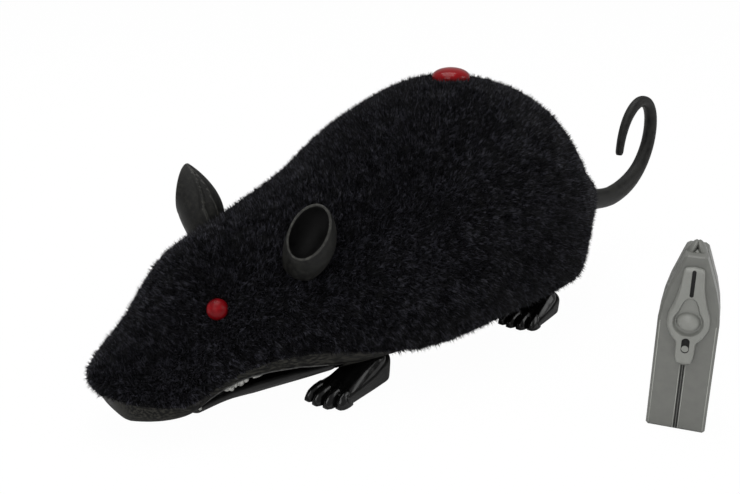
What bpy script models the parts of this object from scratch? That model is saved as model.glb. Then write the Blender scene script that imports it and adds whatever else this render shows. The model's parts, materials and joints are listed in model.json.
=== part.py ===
"""Remote controlled plush rat toy with its hand-held remote control.

Row frame: metres, +Z up, the rat's nose towards -X and its left side towards -Y.
The rat stands on the floor at z = 0 and the remote stands beside it on its flat base.
"""
import math

import bmesh
import bpy
import numpy as np
from mathutils import Matrix, Vector

# Rat body form
BODY_LENGTH = 0.230
BODY_HEIGHT = 0.0915
BODY_WIDTH = 0.103
STATION_SHARES = (0.0, 0.03, 0.08, 0.16, 0.26, 0.38, 0.50, 0.62, 0.74, 0.84, 0.92, 0.97, 1.0)
BACK_SHARES = (0.228, 0.25, 0.32, 0.546, 0.624, 0.738, 0.912, 1.0, 0.932, 0.69, 0.54, 0.46, 0.412)
BELLY_SHARES = (0.209, 0.065, 0.052, 0.066, 0.062, 0.053, 0.053, 0.071, 0.109, 0.177, 0.25, 0.3, 0.362)
WIDTH_SHARES = (0.01, 0.28, 0.452, 0.55, 0.70, 0.843, 0.95, 0.95, 0.86, 0.58, 0.35, 0.19, 0.02)
WIDEST_SHARE = 0.42
BACK_ROUNDNESS = 2.0
BELLY_ROUNDNESS = 2.8
FORM_AROUND = 20
FORM_ALONG = 15
LINING_AROUND = 14
LINING_ALONG = 10

# Layers from the pile inwards
COVER_THICKNESS = 0.0016
SHELL_THICKNESS = 0.0020
FLOOR_THICKNESS = 0.0022
GAP = 0.0003
RUNNING_CLEARANCE = 0.00008
OVERRUN = 0.002

# Lower edge of the plush and the line where shell and base meet, over the belly line
HEM_LIFT = 0.0075
SPLIT_LIFT = 0.0068
REAR_DROP = 0.0036
REAR_DROP_SHARES = (0.72, 0.90)
HEM_BACK_SHARES = (0.50, 0.99)
SPLIT_BACK_SHARES = (0.42, 0.97)
SPLIT_END_SHARE = 0.985
TAIL_END_SHARE = 1.03
REACH = BODY_WIDTH
FLOOR_CUT = -OVERRUN
HEAD_HEM_STATION_SHARES = (0.0, 0.05, 0.085, 0.12, 0.155, 0.20, 0.25, 0.30, 0.36, 0.42)
HEAD_HEM_SHARES = (0.145, 0.13, 0.125, 0.172, 0.207, 0.228, 0.228, 0.2, 0.165, 0.125)
MOUTH_STATION_SHARES = (0.10, 0.115, 0.135, 0.16, 0.19, 0.23, 0.28, 0.34)
MOUTH_SHARES = (0.096, 0.138, 0.165, 0.186, 0.192, 0.188, 0.16, 0.125)
JAW_STATION_SHARES = (0.103, 0.118, 0.15, 0.19, 0.23, 0.28)
JAW_TOP_SHARES = (0.088, 0.105, 0.122, 0.14, 0.148, 0.138)
JAW_END_SHARE = 0.285

# Eyes, ears and receiver dome
EYE_STATION_SHARE = 0.141
EYE_HEIGHT = BODY_HEIGHT * 0.4208
EYE_FACING = (-0.42, 1.0, 0.10)
EYE_RADIUS = 0.0033
EYE_PROUD = 0.0018
EYE_STEM_RADIUS = 0.0014
EYE_STEM_LENGTH = 0.0065
EAR_STATION_SHARE = 0.246
EAR_SIDE = BODY_WIDTH * 0.335
EAR_LIFT = BODY_HEIGHT * 0.647
EAR_HALF_WIDTH = 0.0083
EAR_HALF_HEIGHT = 0.0108
EAR_DEPTH = 0.0068
EAR_WALL = 0.0013
EAR_FACING = (-0.60, -0.78, 0.17)
EAR_STEM_TOP_RADIUS = 0.0046
EAR_STEM_FOOT_RADIUS = 0.0050
EAR_STEM_LENGTH = 0.0205
EAR_STEM_START = 0.0035
EAR_STEM_LEAN = (0.12, 0.62, -0.78)
DOME_STATION_SHARE = 0.629
DOME_RADIUS = 0.0068
DOME_HEIGHT = 0.0040
DOME_WALL = 0.0012
DOME_COLLAR = 0.0030

# Tail: centre line as (beyond the rump, over the root's height), radii from root to tip
TAIL_POINTS = (
    (-0.0150, 0.0000), (-0.0092, -0.0038), (-0.0034, -0.0067), (0.0030, -0.0087), (0.0092, -0.0099),
    (0.0168, -0.0106), (0.0232, -0.0096), (0.0288, -0.0078), (0.0336, -0.0052), (0.0376, -0.0018),
    (0.0406, 0.0022), (0.0428, 0.0066), (0.0442, 0.0114), (0.0447, 0.0164), (0.0442, 0.0214),
    (0.0425, 0.0258), (0.0393, 0.0290), (0.0350, 0.0300), (0.0309, 0.0284), (0.0276, 0.0254),
    (0.0252, 0.0216), (0.0236, 0.0172), (0.0227, 0.0126), (0.0223, 0.0074),
)
TAIL_SHARE = 0.4131
TAIL_ROOT_RADIUS = 0.0040
TAIL_TIP_RADIUS = 0.0016
TAIL_PLUG_RADIUS = 0.0041
TAIL_PLUG_LENGTH = 0.0040
TAIL_PLUG_OUT_SHARE = 0.4
TAIL_HOLE_LENGTH = 0.0190
TAIL_TAPER_POWER = 0.8
TAIL_END_ROUNDING = 0.6

# Feet
FRONT_FOOT_STATION_SHARE = 0.289
REAR_FOOT_STATION_SHARE = 0.691
FOOT_SIDE = BODY_WIDTH * 0.2816
FOOT_CLEARANCE = 0.0006
FOOT_WIDTH = 0.0150
FOOT_HEIGHT = 0.0125
FOOT_TURN = math.radians(9)
TOE_COUNT = 4
TOE_RADIUS = 0.0022
TOE_LENGTH = 0.0062
TOE_FAN = math.radians(9)
CLAW_LENGTH = 0.0034
CLAW_RADIUS = 0.0013
FOOT_PEG_RADIUS = 0.0026

# Drive: wheels, axle and gear train
WHEEL_RADIUS = 0.0140
TYRE_THICKNESS = 0.0024
TYRE_WIDTH = 0.0045
RIM_WIDTH = 0.0041
WHEEL_TRACK = 0.0255
AXLE_SET_BACK = 0.0205
AXLE_RADIUS = 0.0010
AXLE_LENGTH = 0.0322
WHEEL_BORE_GRIP = 0.00002
GEAR_MODULE = 0.0005
PRESSURE_ANGLE = math.radians(20)
BACKLASH = 0.00013
CENTRE_SPREAD = 0.00012
MOTOR_PINION_TEETH = 10
IDLER_TEETH = 30
IDLER_PINION_TEETH = 10
AXLE_GEAR_TEETH = 28
ADDENDUM_SHARE = 0.88
DEDENDUM_SHARE = 1.25
AXLE_GEAR_WIDTH = 0.0034
IDLER_PINION_WIDTH = 0.0046
IDLER_GEAR_WIDTH = 0.0026
IDLER_PIN_RADIUS = 0.00075
MOTOR_SHAFT_RADIUS = 0.0006
IDLER_DIRECTION = math.radians(134)
MOTOR_DIRECTION = math.radians(134)
MOTOR_LENGTH = 0.0150
MOTOR_WIDTH = 0.0120
MOTOR_HEIGHT = 0.0100
MOTOR_SHAFT_LENGTH = 0.0085

# Gearbox walls moulded on the base
GEARBOX_HALF_WIDTH = 0.0092
GEARBOX_WALL = 0.0015
GEARBOX_TAIL = 0.0135
GEARBOX_TOP = 0.0270
GEARBOX_FLOOR = 0.0046
BASE_FLAT = 0.0064
MOTOR_PLATE_TOP = 0.0348
COVER_PLATE = 0.0012

# Battery bay
CELL_RADIUS = 0.00525
CELL_LENGTH = 0.0445
CELL_COUNT = 3
CELL_PITCH = 0.0109
CELL_NIPPLE = 0.0008
CELL_NIPPLE_RADIUS = 0.0019
BAY_SPRING_ROOM = 0.0055
BAY_CLEARANCE = 0.0004
BAY_WALL = 0.0015
DOOR_THICKNESS = 0.0015
DOOR_MARGIN = 0.0012
CONTACT_THICKNESS = 0.0004
SPRING_WIRE = 0.00035
SPRING_RADIUS = 0.0030
SPRING_TURNS = 3
COIL_STEPS = 6

# Front caster
CASTER_TRAIL = 0.0032
CASTER_WHEEL_RADIUS = 0.0062
CASTER_WHEEL_WIDTH = 0.0040
CASTER_AXLE_RADIUS = 0.0008
FORK_THICKNESS = 0.0012
FORK_RADIUS = 0.0078
FORK_TOP = 0.0150
PIVOT_RADIUS = 0.0020
WELL_RADIUS = 0.0115
WELL_WALL = 0.0014
WELL_TOP = 0.0178

# Electronics and fixings
BOARD_THICKNESS = 0.0012
BOARD_LIFT = 0.0012
BOARD_HALF_WIDTH = 0.0155
BOARD_LENGTH = 0.0400
LEAD_RADIUS = 0.0008
SWITCH_TRAVEL = 0.0030
SCREW_RADIUS = 0.0012
SCREW_HEAD_RADIUS = 0.0024
SCREW_HEAD_HEIGHT = 0.0014
SCREW_LENGTH = 0.0080
SCREW_CROWN_SHARE = 0.35
SCREW_FLAT_SHARE = 0.7
POST_RADIUS = 0.0033

# Remote control
REMOTE_PLACE = (0.0269, -0.1047)
REMOTE_TURN = math.radians(-61)
REMOTE_HEIGHT = 0.0580
REMOTE_WIDTH = 0.0170
REMOTE_DEPTH = 0.0146
REMOTE_WALL = 0.0012
REMOTE_OUTLINE_SHARES = (
    (0.5, 0.0), (0.5, 0.61), (0.462, 0.69), (0.385, 0.78), (0.30, 0.85), (0.235, 0.905), (0.17, 0.955),
)
REMOTE_EDGE = 0.0007
GROOVE_WIDTH = 0.0015
GROOVE_DEPTH = 0.0004
GROOVE_TOP_SHARE = 0.372
BEZEL_HEIGHT = 0.0008
BEZEL_SEAT = 0.0004
BEZEL_OUTLINE_SHARES = (
    (0.175, 0.895), (0.21, 0.79), (0.29, 0.70), (0.36, 0.645), (0.352, 0.58), (0.25, 0.525),
    (0.165, 0.50), (0.155, 0.41), (0.115, 0.384),
)
BUTTON_HEIGHT_SHARE = 0.615
BUTTON_HALF_WIDTH = 0.0035
BUTTON_HALF_HEIGHT = 0.0030
BUTTON_PROUD = 0.0020
BUTTON_AXLE_RADIUS = 0.0008
BUTTON_AXLE_LENGTH = 0.0092
BUTTON_SWING = math.radians(8)
SLIDE_HEIGHT_SHARE = 0.476
SLIDE_RADIUS = 0.0010
SLIDE_TRAVEL = 0.0020
SLIDE_PROUD = 0.0009
SLIDE_STEM_WIDTH = 0.0010
HOOD_BASE_SHARE = 0.895
HOOD_WIDTH = 0.0056
HOOD_WALL = 0.0010
HOOD_LIP_SHARE = 0.6
EMITTER_RADIUS = 0.0013
EMITTER_LENGTH = 0.0062
BUTTON_CELL_RADIUS = 0.0058
BUTTON_CELL_HEIGHT = 0.0054
BUTTON_CELL_COUNT = 3
REMOTE_BAY_BOTTOM = 0.0026
REMOTE_BAY_HEIGHT = 0.0205
REMOTE_SPRING_TURNS = 2

# Seats, bosses and teeth
LEDGE_TOP = 0.0044
LEDGE_DEPTH = 0.0060
LEDGE_REACH = 0.0018
BOSS_HEIGHT = 0.0052
BOSS_WALL = 0.0006
BOSS_FLOOR = 0.0016
TEETH_X = BODY_LENGTH * -0.3826
TEETH_BAR = 0.0020
TEETH_COUNT = 6
TEETH_PITCH = 0.0026
TEETH_DROP = 0.0024
TEETH_RADIUS = 0.0011
TEETH_TAPER_SHARE = 0.55

# Details of paws, caster and drive
IDLER_GEAR_START = IDLER_PINION_WIDTH / 2
MOTOR_PLATE_FACE = GEARBOX_HALF_WIDTH
MOTOR_BOSS_DEPTH = 0.0030
MOTOR_BOSS_RADIUS = 0.0020
MOTOR_BOSS_PROUD = 0.0012
MOTOR_END_CAP = 0.0018
MOTOR_END_STEP = 0.0007
TERMINAL_SIZE = (0.0014, 0.0018, 0.0004)
WHEEL_WEB = 0.0014
WHEEL_HUB_RADIUS = 0.0028
WHEEL_RIM_WALL = 0.0012
TYRE_CROWN = 0.0005
WHEEL_SIDE_CLEARANCE = 0.0012
FOOT_PEG_BACK = 0.0100
FOOT_BODY_LENGTH = 0.0205
FOOT_PROFILE_SHARES = ((0.0, 0.0), (0.0, 0.42), (0.22, 0.60), (0.50, 0.86), (0.74, 1.0), (0.93, 0.92),
                       (1.0, 0.62), (1.0, 0.2), (0.93, 0.0))
HEEL_WIDTH_SHARE = 0.72
TOE_SPREAD_SHARE = 0.76
FOOT_EDGE = 0.0009
CLAW_TIP_SHARE = 0.25
TOE_MIDDLE_SHARE = 0.38
CLAW_ROOT_SHARE = 0.70
CLAW_DROP_SHARE = 0.55
FORK_ARM_WIDTH = 0.0044
BARB_HEIGHT = 0.0020
BARB_REACH = 0.0006
BARB_TIP_SHARE = 0.7
GEAR_ROOM = 0.0022
HOOD_PINION_ARC = (math.radians(183), math.radians(79))
HOOD_IDLER_ARC = (math.radians(88), math.radians(46))
HOOD_SEAT = 0.00045

# Details of switch, door and electronics
SWITCH_KNOB_LENGTH = 0.0030
SWITCH_KNOB_WIDTH = 0.0024
SWITCH_CASE_LENGTH = 0.0120
SWITCH_CASE_WIDTH = 0.0060
SWITCH_CASE_HEIGHT = 0.0050
DOOR_RIBS = 5
DOOR_RIB_PITCH = 0.0016
DOOR_RIB_LENGTH = 0.0120
DOOR_RIB_START_SHARE = 0.76
SWITCH_PROUD = 0.0006
SLIDER_LENGTH_SHARE = 1.4
SLIDER_WIDTH_SHARE = 1.3
CONTACT_REACH_SHARE = 0.8
BOARD_SET_BACK = 0.0020
BOARD_PIECES = ((0.62, 0.25, (0.0100, 0.0062, 0.0016)), (0.25, 0.55, (0.0040, 0.0040, 0.0022)),
                (0.85, -0.6, (0.0060, 0.0040, 0.0020)))
CAPACITOR_RADIUS = 0.0024
CAPACITOR_SHARES = (0.3, -0.55)
CAPACITOR_HEIGHT = 0.0058
RECEIVER_BOARD = 0.0009
RECEIVER_SIZE = (0.0058, 0.0042, 0.0022)
LEAD_SHARES = ((0.86, 0.0, 0.66), (0.66, -0.12, 0.42), (0.52, -0.3, 0.22), (0.48, -0.36, 0.1))

# Details of the remote
MITRE_LIMIT_SHARE = 0.5
FRONT = -REMOTE_DEPTH / 2
BUTTON_Z = REMOTE_HEIGHT * BUTTON_HEIGHT_SHARE
BUTTON_DEPTH_RADIUS = 0.0029
BUTTON_Y = FRONT - GAP - BEZEL_HEIGHT - BUTTON_PROUD + BUTTON_DEPTH_RADIUS
SLIDE_Z = REMOTE_HEIGHT * SLIDE_HEIGHT_SHARE
BUTTON_ROOM = 0.0005
SLIDE_ROOM = 0.0003
BOARD_SET_IN = 0.00525
REMOTE_BOARD_Y = FRONT + BOARD_SET_IN
BEZEL_EDGE = 0.00035
BEZEL_RIM = 0.00095
SLIDE_FOOT = 0.0017
KEY_SIZE = 0.0046
KEY_HEIGHT = 0.0004
BOARD_TOP_SHARE = 0.84
BOARD_SHOULDER_SHARE = 0.66
BOARD_TOP_WIDTH_SHARE = 0.55
BUTTON_CELL_Y = 0.0004

# Places along the base, each from the one before it
WELL_MARGIN = 0.00205
WELL_TO_BAY = 0.0016
BAY_TO_GEARBOX = 0.0002
POST_MARGIN = 0.00135
JAW_END_X = (JAW_END_SHARE - 0.5) * BODY_LENGTH
CASTER_X = JAW_END_X + WELL_MARGIN + WELL_RADIUS + WELL_WALL
BAY_FRONT = CASTER_X + WELL_RADIUS + WELL_WALL + WELL_TO_BAY + BAY_WALL
BAY_LENGTH = CELL_LENGTH + BAY_SPRING_ROOM
BAY_END = BAY_FRONT + BAY_LENGTH
AXLE_X = BAY_END + AXLE_SET_BACK
GEARBOX_FRONT = BAY_END + BAY_WALL + BAY_TO_GEARBOX
GEARBOX_BACK = AXLE_X + GEARBOX_TAIL
MOTOR_PLATE_FRONT = BAY_END - GAP
BAY_HALF_WIDTH = CELL_COUNT * CELL_PITCH / 2 + BAY_CLEARANCE
POST_SIDE = BAY_HALF_WIDTH + BAY_WALL + POST_RADIUS + BOSS_WALL + POST_MARGIN
POST_FRONT = BAY_FRONT + BAY_LENGTH / 4
POST_BACK = GEARBOX_BACK + POST_RADIUS + BOSS_WALL + POST_MARGIN
POST_PLACES = ((POST_BACK, 0.0), (POST_FRONT, POST_SIDE), (POST_FRONT, -POST_SIDE))
SWITCH_X = BAY_FRONT + BAY_LENGTH * 0.61
SWITCH_Y = BODY_WIDTH * 0.238
FOOT_PEG_SIDE = BODY_WIDTH * 0.228

PARTS = bpy.data.collections.new("remote_control_rat")
WORK = bpy.data.collections.new("cutters")


def clear_scene():
    """Remove every object of the open scene and link the two collections."""
    for item in list(bpy.data.objects):
        bpy.data.objects.remove(item, do_unlink=True)
    for group in (PARTS, WORK):
        bpy.context.scene.collection.children.link(group)


def material(name, colour, roughness, metallic=0.0):
    """Principled material of one plain finish."""
    finish = bpy.data.materials.get(name)
    if finish is None:
        finish = bpy.data.materials.new(name)
        finish.use_nodes = True
        shader = finish.node_tree.nodes["Principled BSDF"]
        shader.inputs["Base Color"].default_value = (*colour, 1.0)
        shader.inputs["Roughness"].default_value = roughness
        shader.inputs["Metallic"].default_value = metallic
        finish.diffuse_color = (*colour, 1.0)
    return finish


# Small mesh tools

def work_object(name, data):
    """Link new data as an object in the working collection."""
    made = bpy.data.objects.new(name, data)
    WORK.objects.link(made)
    return made


def from_bmesh(name, shape):
    """Turn a bmesh into a working object."""
    mesh = bpy.data.meshes.new(name)
    shape.to_mesh(mesh)
    shape.free()
    return work_object(name, mesh)


def bake(made):
    """Replace an object's data by its evaluated, welded mesh in place."""
    graph = bpy.context.evaluated_depsgraph_get()
    mesh = bpy.data.meshes.new_from_object(made.evaluated_get(graph), depsgraph=graph)
    name = made.name
    place = made.matrix_world.copy()
    bpy.data.objects.remove(made, do_unlink=True)
    shape = bmesh.new()
    shape.from_mesh(mesh)
    shape.transform(place)
    bmesh.ops.remove_doubles(shape, verts=shape.verts, dist=0.000004)
    bmesh.ops.dissolve_degenerate(shape, edges=shape.edges, dist=0.000003)
    bmesh.ops.recalc_face_normals(shape, faces=shape.faces)
    shape.to_mesh(mesh)
    shape.free()
    baked = work_object(name, mesh)
    return baked


def boolean(target, tool, operation):
    """Apply one exact Boolean and remove the tool."""
    step = target.modifiers.new("boolean", "BOOLEAN")
    step.operation = operation
    step.object = tool
    step.solver = "EXACT"
    target = bake(target)
    bpy.data.objects.remove(tool, do_unlink=True)
    return target


def cut(target, *tools):
    """Cut tools away from a target."""
    for tool in tools:
        target = boolean(target, tool, "DIFFERENCE")
    return target


def join(target, *tools):
    """Join tools to a target as one body."""
    for tool in tools:
        target = boolean(target, tool, "UNION")
    return target


def copy_of(source, name="copy"):
    """Copy an object with its own mesh."""
    return work_object(name, source.data.copy())


def block(low, high):
    """Box between two corners."""
    shape = bmesh.new()
    bmesh.ops.create_cube(shape, size=1.0)
    low, high = Vector(low), Vector(high)
    size = high - low
    middle = (high + low) / 2
    shape.transform(Matrix.Translation(middle) @ Matrix.Diagonal((*size, 1.0)))
    return from_bmesh("block", shape)


def turn_to(axis):
    """Rotation that lays +Z along an axis."""
    return Vector(axis).normalized().to_track_quat("Z", "Y").to_matrix().to_4x4()


def rod(start, end, radius, sides=16, end_radius=None):
    """Cylinder or cone between two points."""
    start, end = Vector(start), Vector(end)
    shape = bmesh.new()
    along = end - start
    bmesh.ops.create_cone(shape, cap_ends=True, segments=sides, radius1=radius,
                          radius2=radius if end_radius is None else end_radius, depth=along.length)
    shape.transform(Matrix.Translation((start + end) / 2) @ turn_to(along))
    return from_bmesh("rod", shape)


def ball(centre, radii, around=12, along=8, frame=None):
    """Ellipsoid on a centre, its own axes given by a frame matrix."""
    shape = bmesh.new()
    bmesh.ops.create_uvsphere(shape, u_segments=around, v_segments=along, radius=1.0)
    shape.transform(Matrix.Diagonal((*radii, 1.0)))
    if frame is not None:
        shape.transform(frame)
    shape.transform(Matrix.Translation(Vector(centre)))
    return from_bmesh("ball", shape)


def turned(profile, place=(0, 0, 0), axis=(0, 0, 1), steps=24, closed=False):
    """Lathe a profile of (radius, height) pairs, which runs down the outer side."""
    mesh = bpy.data.meshes.new("profile")
    count = len(profile)
    edges = [(i, i + 1) for i in range(count - 1)]
    if closed:
        edges.append((count - 1, 0))
    mesh.from_pydata([(radius, 0, height) for radius, height in profile], edges, [])
    made = work_object("turned", mesh)
    screw = made.modifiers.new("screw", "SCREW")
    screw.steps = steps
    screw.render_steps = steps
    screw.use_merge_vertices = True
    screw.merge_threshold = 0.000005
    screw.use_normal_calculate = True
    made = bake(made)
    made.data.transform(Matrix.Translation(Vector(place)) @ turn_to(axis))
    return made


def outline_plate(loops, start, end, plane="XZ"):
    """Plate with one outer outline and any holes, between two depths across its plane."""
    curve = bpy.data.curves.new("outline", "CURVE")
    curve.dimensions = "2D"
    curve.fill_mode = "BOTH"
    curve.extrude = abs(end - start) / 2
    for loop in loops:
        spline = curve.splines.new("POLY")
        spline.points.add(len(loop) - 1)
        for point, (across, up) in zip(spline.points, loop):
            point.co = (across, up, 0, 1)
        spline.use_cyclic_u = True
    made = bake(work_object("plate", curve))
    middle = (start + end) / 2
    if plane == "XZ":
        frame = Matrix(((1, 0, 0, 0), (0, 0, -1, middle), (0, 1, 0, 0), (0, 0, 0, 1)))
    else:
        frame = Matrix.Translation((0, 0, middle))
    made.data.transform(frame)
    return made


def tube(points, radii, resolution=2):
    """Round bar of changing radius along a path, with closed ends."""
    curve = bpy.data.curves.new("tube", "CURVE")
    curve.dimensions = "3D"
    curve.bevel_depth = 1.0
    curve.bevel_resolution = resolution
    curve.use_fill_caps = True
    spline = curve.splines.new("POLY")
    spline.points.add(len(points) - 1)
    for point, place, radius in zip(spline.points, points, radii):
        point.co = (*place, 1)
        point.radius = radius
    return bake(work_object("tube", curve))


def soften(made, width, segments=1, angle=math.radians(40)):
    """Round the sharp edges of a working object."""
    edge = made.modifiers.new("bevel", "BEVEL")
    edge.width = width
    edge.segments = segments
    edge.limit_method = "ANGLE"
    edge.angle_limit = angle
    return bake(made)


def shifted(made, matrix):
    """Move a working object's mesh by a matrix."""
    made.data.transform(matrix)
    return made


def mirrored(made):
    """Copy across the rat's middle plane."""
    twin = copy_of(made, "twin")
    twin.data.transform(Matrix.Diagonal((1, -1, 1, 1)))
    twin.data.flip_normals()
    return twin


def finish(made, name, look, origin=(0, 0, 0), parent=None, crisp=math.radians(38)):
    """Name a finished part, set its origin, material and smoothing, and file it."""
    origin = Vector(origin)
    made.data.transform(Matrix.Translation(-origin))
    made.location = origin
    made.name = name
    made.data.name = name
    made.data.materials.clear()
    made.data.materials.append(look)
    made.data.shade_smooth()
    made.data.set_sharp_from_angle(angle=crisp)
    WORK.objects.unlink(made)
    PARTS.objects.link(made)
    made.parent = parent
    return made


# The body form shared by plush, shell and base

def smooth_curve(knots, values, wanted):
    """Monotone cubic through knots, the Fritsch-Carlson rule."""
    x = np.asarray(knots, float)
    y = np.asarray(values, float)
    step = np.diff(x)
    slope = np.diff(y) / step
    tangent = np.zeros_like(y)
    tangent[0], tangent[-1] = slope[0], slope[-1]
    for i in range(1, len(y) - 1):
        if slope[i - 1] * slope[i] > 0:
            a = 2 * step[i] + step[i - 1]
            b = step[i] + 2 * step[i - 1]
            tangent[i] = (a + b) / (a / slope[i - 1] + b / slope[i])
    place_in = np.clip(np.searchsorted(x, wanted) - 1, 0, len(step) - 1)
    h = step[place_in]
    t = (np.clip(wanted, x[0], x[-1]) - x[place_in]) / h
    y0, y1 = y[place_in], y[place_in + 1]
    m0, m1 = tangent[place_in] * h, tangent[place_in + 1] * h
    return ((2 * t**3 - 3 * t**2 + 1) * y0 + (t**3 - 2 * t**2 + t) * m0
            + (3 * t**2 - 2 * t**3) * y1 + (t**3 - t**2) * m1)


def station(share):
    """X of a share of the body length, the nose being share zero."""
    return (share - 0.5) * BODY_LENGTH


def share_of(x):
    """Share of the body length at an X."""
    return x / BODY_LENGTH + 0.5


def back_height(share):
    """Height of the back line."""
    return BODY_HEIGHT * smooth_curve(STATION_SHARES, BACK_SHARES, share)


def belly_height(share):
    """Height of the belly line."""
    return BODY_HEIGHT * smooth_curve(STATION_SHARES, BELLY_SHARES, share)


def half_width(share):
    """Half of the body's width at its widest level."""
    return BODY_WIDTH / 2 * smooth_curve(STATION_SHARES, WIDTH_SHARES, share)


def body_points(unit):
    """Map points of a unit sphere with its poles along Z onto the body form."""
    share = (1 + unit[:, 2]) / 2
    around = np.arctan2(unit[:, 1], unit[:, 0])
    across, up = np.cos(around), np.sin(around)
    power = np.where(up > 0, 2 / BACK_ROUNDNESS, 2 / BELLY_ROUNDNESS)
    back, belly = back_height(share), belly_height(share)
    middle = belly + (back - belly) * WIDEST_SHARE
    reach = np.where(up > 0, back - middle, middle - belly)
    y = half_width(share) * np.sign(across) * np.abs(across) ** power
    z = middle + reach * np.sign(up) * np.abs(up) ** power
    return np.stack([station(share), y, z], axis=1)


def body_form(inset, around=FORM_AROUND, along=FORM_ALONG):
    """Closed body form, moved inwards along its normals by an inset."""
    shape = bmesh.new()
    bmesh.ops.create_uvsphere(shape, u_segments=around, v_segments=along, radius=1.0)
    unit = np.array([vert.co[:] for vert in shape.verts])
    for vert, point in zip(shape.verts, body_points(unit)):
        vert.co = point
    shape.normal_update()
    moved = [vert.co - vert.normal * inset for vert in shape.verts]
    for vert, point in zip(shape.verts, moved):
        vert.co = point
    return from_bmesh("form", shape)


def side_sweep(points, half_reach, floor):
    """Cutter below a line of (x, z) points, right across the body."""
    outline = list(points) + [(points[-1][0], floor), (points[0][0], floor)]
    return outline_plate([outline], -half_reach, half_reach)


def lift_line(start_share, end_share, lift, rear_drop=0.0, count=14):
    """Points a lift above the belly line between two shares, lower towards the rump."""
    shares = np.linspace(start_share, end_share, count)
    drops = np.interp(shares, REAR_DROP_SHARES, (0, rear_drop))
    return [(station(s), float(belly_height(s)) + lift - d) for s, d in zip(shares, drops)]


def hem_line(drop=0.0):
    """Lower edge of the plush, as seen from the side."""
    head = [(station(s), v * BODY_HEIGHT - drop)
            for s, v in zip(HEAD_HEM_STATION_SHARES, HEAD_HEM_SHARES)]
    head[0] = (station(0) - OVERRUN, head[0][1])
    return head + lift_line(*HEM_BACK_SHARES, HEM_LIFT - drop, REAR_DROP) + [
        (station(TAIL_END_SHARE), float(belly_height(1.0)) + HEM_LIFT - REAR_DROP - drop)]


def split_line(drop=0.0):
    """Line where the shell ends and the jaw and base begin."""
    head = [(station(MOUTH_STATION_SHARES[0]), FLOOR_CUT)]
    head += [(station(s), v * BODY_HEIGHT - drop)
             for s, v in zip(MOUTH_STATION_SHARES, MOUTH_SHARES)]
    return head + lift_line(*SPLIT_BACK_SHARES, SPLIT_LIFT - drop) + [
        (station(TAIL_END_SHARE), float(belly_height(SPLIT_END_SHARE)) - drop)]


# Rat outer pieces

def build_cover(looks, root):
    """Plush skin: the body form, hollow, open below its hem, with holes for what shows."""
    cover = cut(body_form(0.0), side_sweep(hem_line(), REACH, FLOOR_CUT))
    cover = cut(cover, body_form(COVER_THICKNESS))
    holes = [rod(ear_point(side, -EAR_STEM_LENGTH), ear_point(side, EAR_STEM_START),
                 EAR_STEM_FOOT_RADIUS + GAP) for side in (-1, 1)]
    holes += [rod(*eye_line(side), EYE_RADIUS + GAP) for side in (-1, 1)]
    holes.append(rod(dome_point(-DOME_COLLAR - OVERRUN), dome_point(DOME_HEIGHT), DOME_RADIUS + GAP, 24))
    holes.append(tail_hole())
    return finish(cut(cover, *holes), "plush_cover", looks["plush"], parent=root)


def build_shell(looks, root):
    """Upper shell with the closed muzzle, post sockets and seats for eyes, ears, dome and tail."""
    outer = cut(body_form(COVER_THICKNESS + GAP), side_sweep(split_line(), REACH, FLOOR_CUT))
    inner = body_form(COVER_THICKNESS + GAP + SHELL_THICKNESS, LINING_AROUND, LINING_ALONG)
    shell = cut(outer, inner)
    for x, y in POST_PLACES:
        post = rod((x, y, post_foot(x, y)), (x, y, BODY_HEIGHT), POST_RADIUS, 12)
        shell = join(shell, boolean(post, body_form(COVER_THICKNESS + GAP + SHELL_THICKNESS / 2), "INTERSECT"))
        shell = cut(shell, rod((x, y, post_foot(x, y) - OVERRUN),
                               (x, y, post_foot(x, y) + SCREW_LENGTH),
                               SCREW_RADIUS + RUNNING_CLEARANCE, 10))
    ledge = rod(dome_point(-LEDGE_DEPTH), dome_point(0),
                DOME_RADIUS + GAP + DOME_WALL, 24)
    shell = join(shell, boolean(ledge, body_form(COVER_THICKNESS + GAP + SHELL_THICKNESS / 2), "INTERSECT"))
    holes = [rod(ear_point(side, -EAR_STEM_LENGTH - OVERRUN), ear_point(side, EAR_STEM_START),
                 EAR_STEM_FOOT_RADIUS + GAP) for side in (-1, 1)]
    holes += [rod(*eye_line(side), EYE_STEM_RADIUS + GAP) for side in (-1, 1)]
    holes += [ball(eye_centre(side), (EYE_RADIUS + GAP,) * 3) for side in (-1, 1)]
    holes.append(rod(dome_point(-LEDGE_TOP), dome_point(DOME_HEIGHT), DOME_RADIUS + GAP, 24))
    holes.append(rod(dome_point(-LEDGE_DEPTH - OVERRUN), dome_point(0), DOME_RADIUS - LEDGE_REACH, 16))
    holes.append(tail_hole())
    return finish(cut(shell, *holes), "upper_shell", looks["dark_plastic"], parent=root)


def eye_centre(side):
    """Centre of an eye bead, which stands proud of the shell by its named amount."""
    direction = Vector((EYE_FACING[0], side * EYE_FACING[1], EYE_FACING[2])).normalized()
    y = side_reach(EYE_STATION_SHARE, EYE_HEIGHT)
    surface = Vector((station(EYE_STATION_SHARE), side * y, EYE_HEIGHT))
    return surface + direction * (EYE_PROUD - EYE_RADIUS)


def eye_line(side):
    """Axis of an eye, from inside the head to outside the plush."""
    direction = Vector((EYE_FACING[0], side * EYE_FACING[1], EYE_FACING[2])).normalized()
    centre = eye_centre(side)
    return centre - direction * EYE_STEM_LENGTH, centre + direction * EYE_RADIUS * 2


def side_reach(share, height):
    """Half width of the body form at a share and a height."""
    back, belly = float(back_height(share)), float(belly_height(share))
    middle = belly + (back - belly) * WIDEST_SHARE
    if height > middle:
        level, power = (height - middle) / (back - middle), BACK_ROUNDNESS
    else:
        level, power = (middle - height) / (middle - belly), BELLY_ROUNDNESS
    return float(half_width(share)) * max(0.0, 1 - level**power) ** (1 / power)


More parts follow.
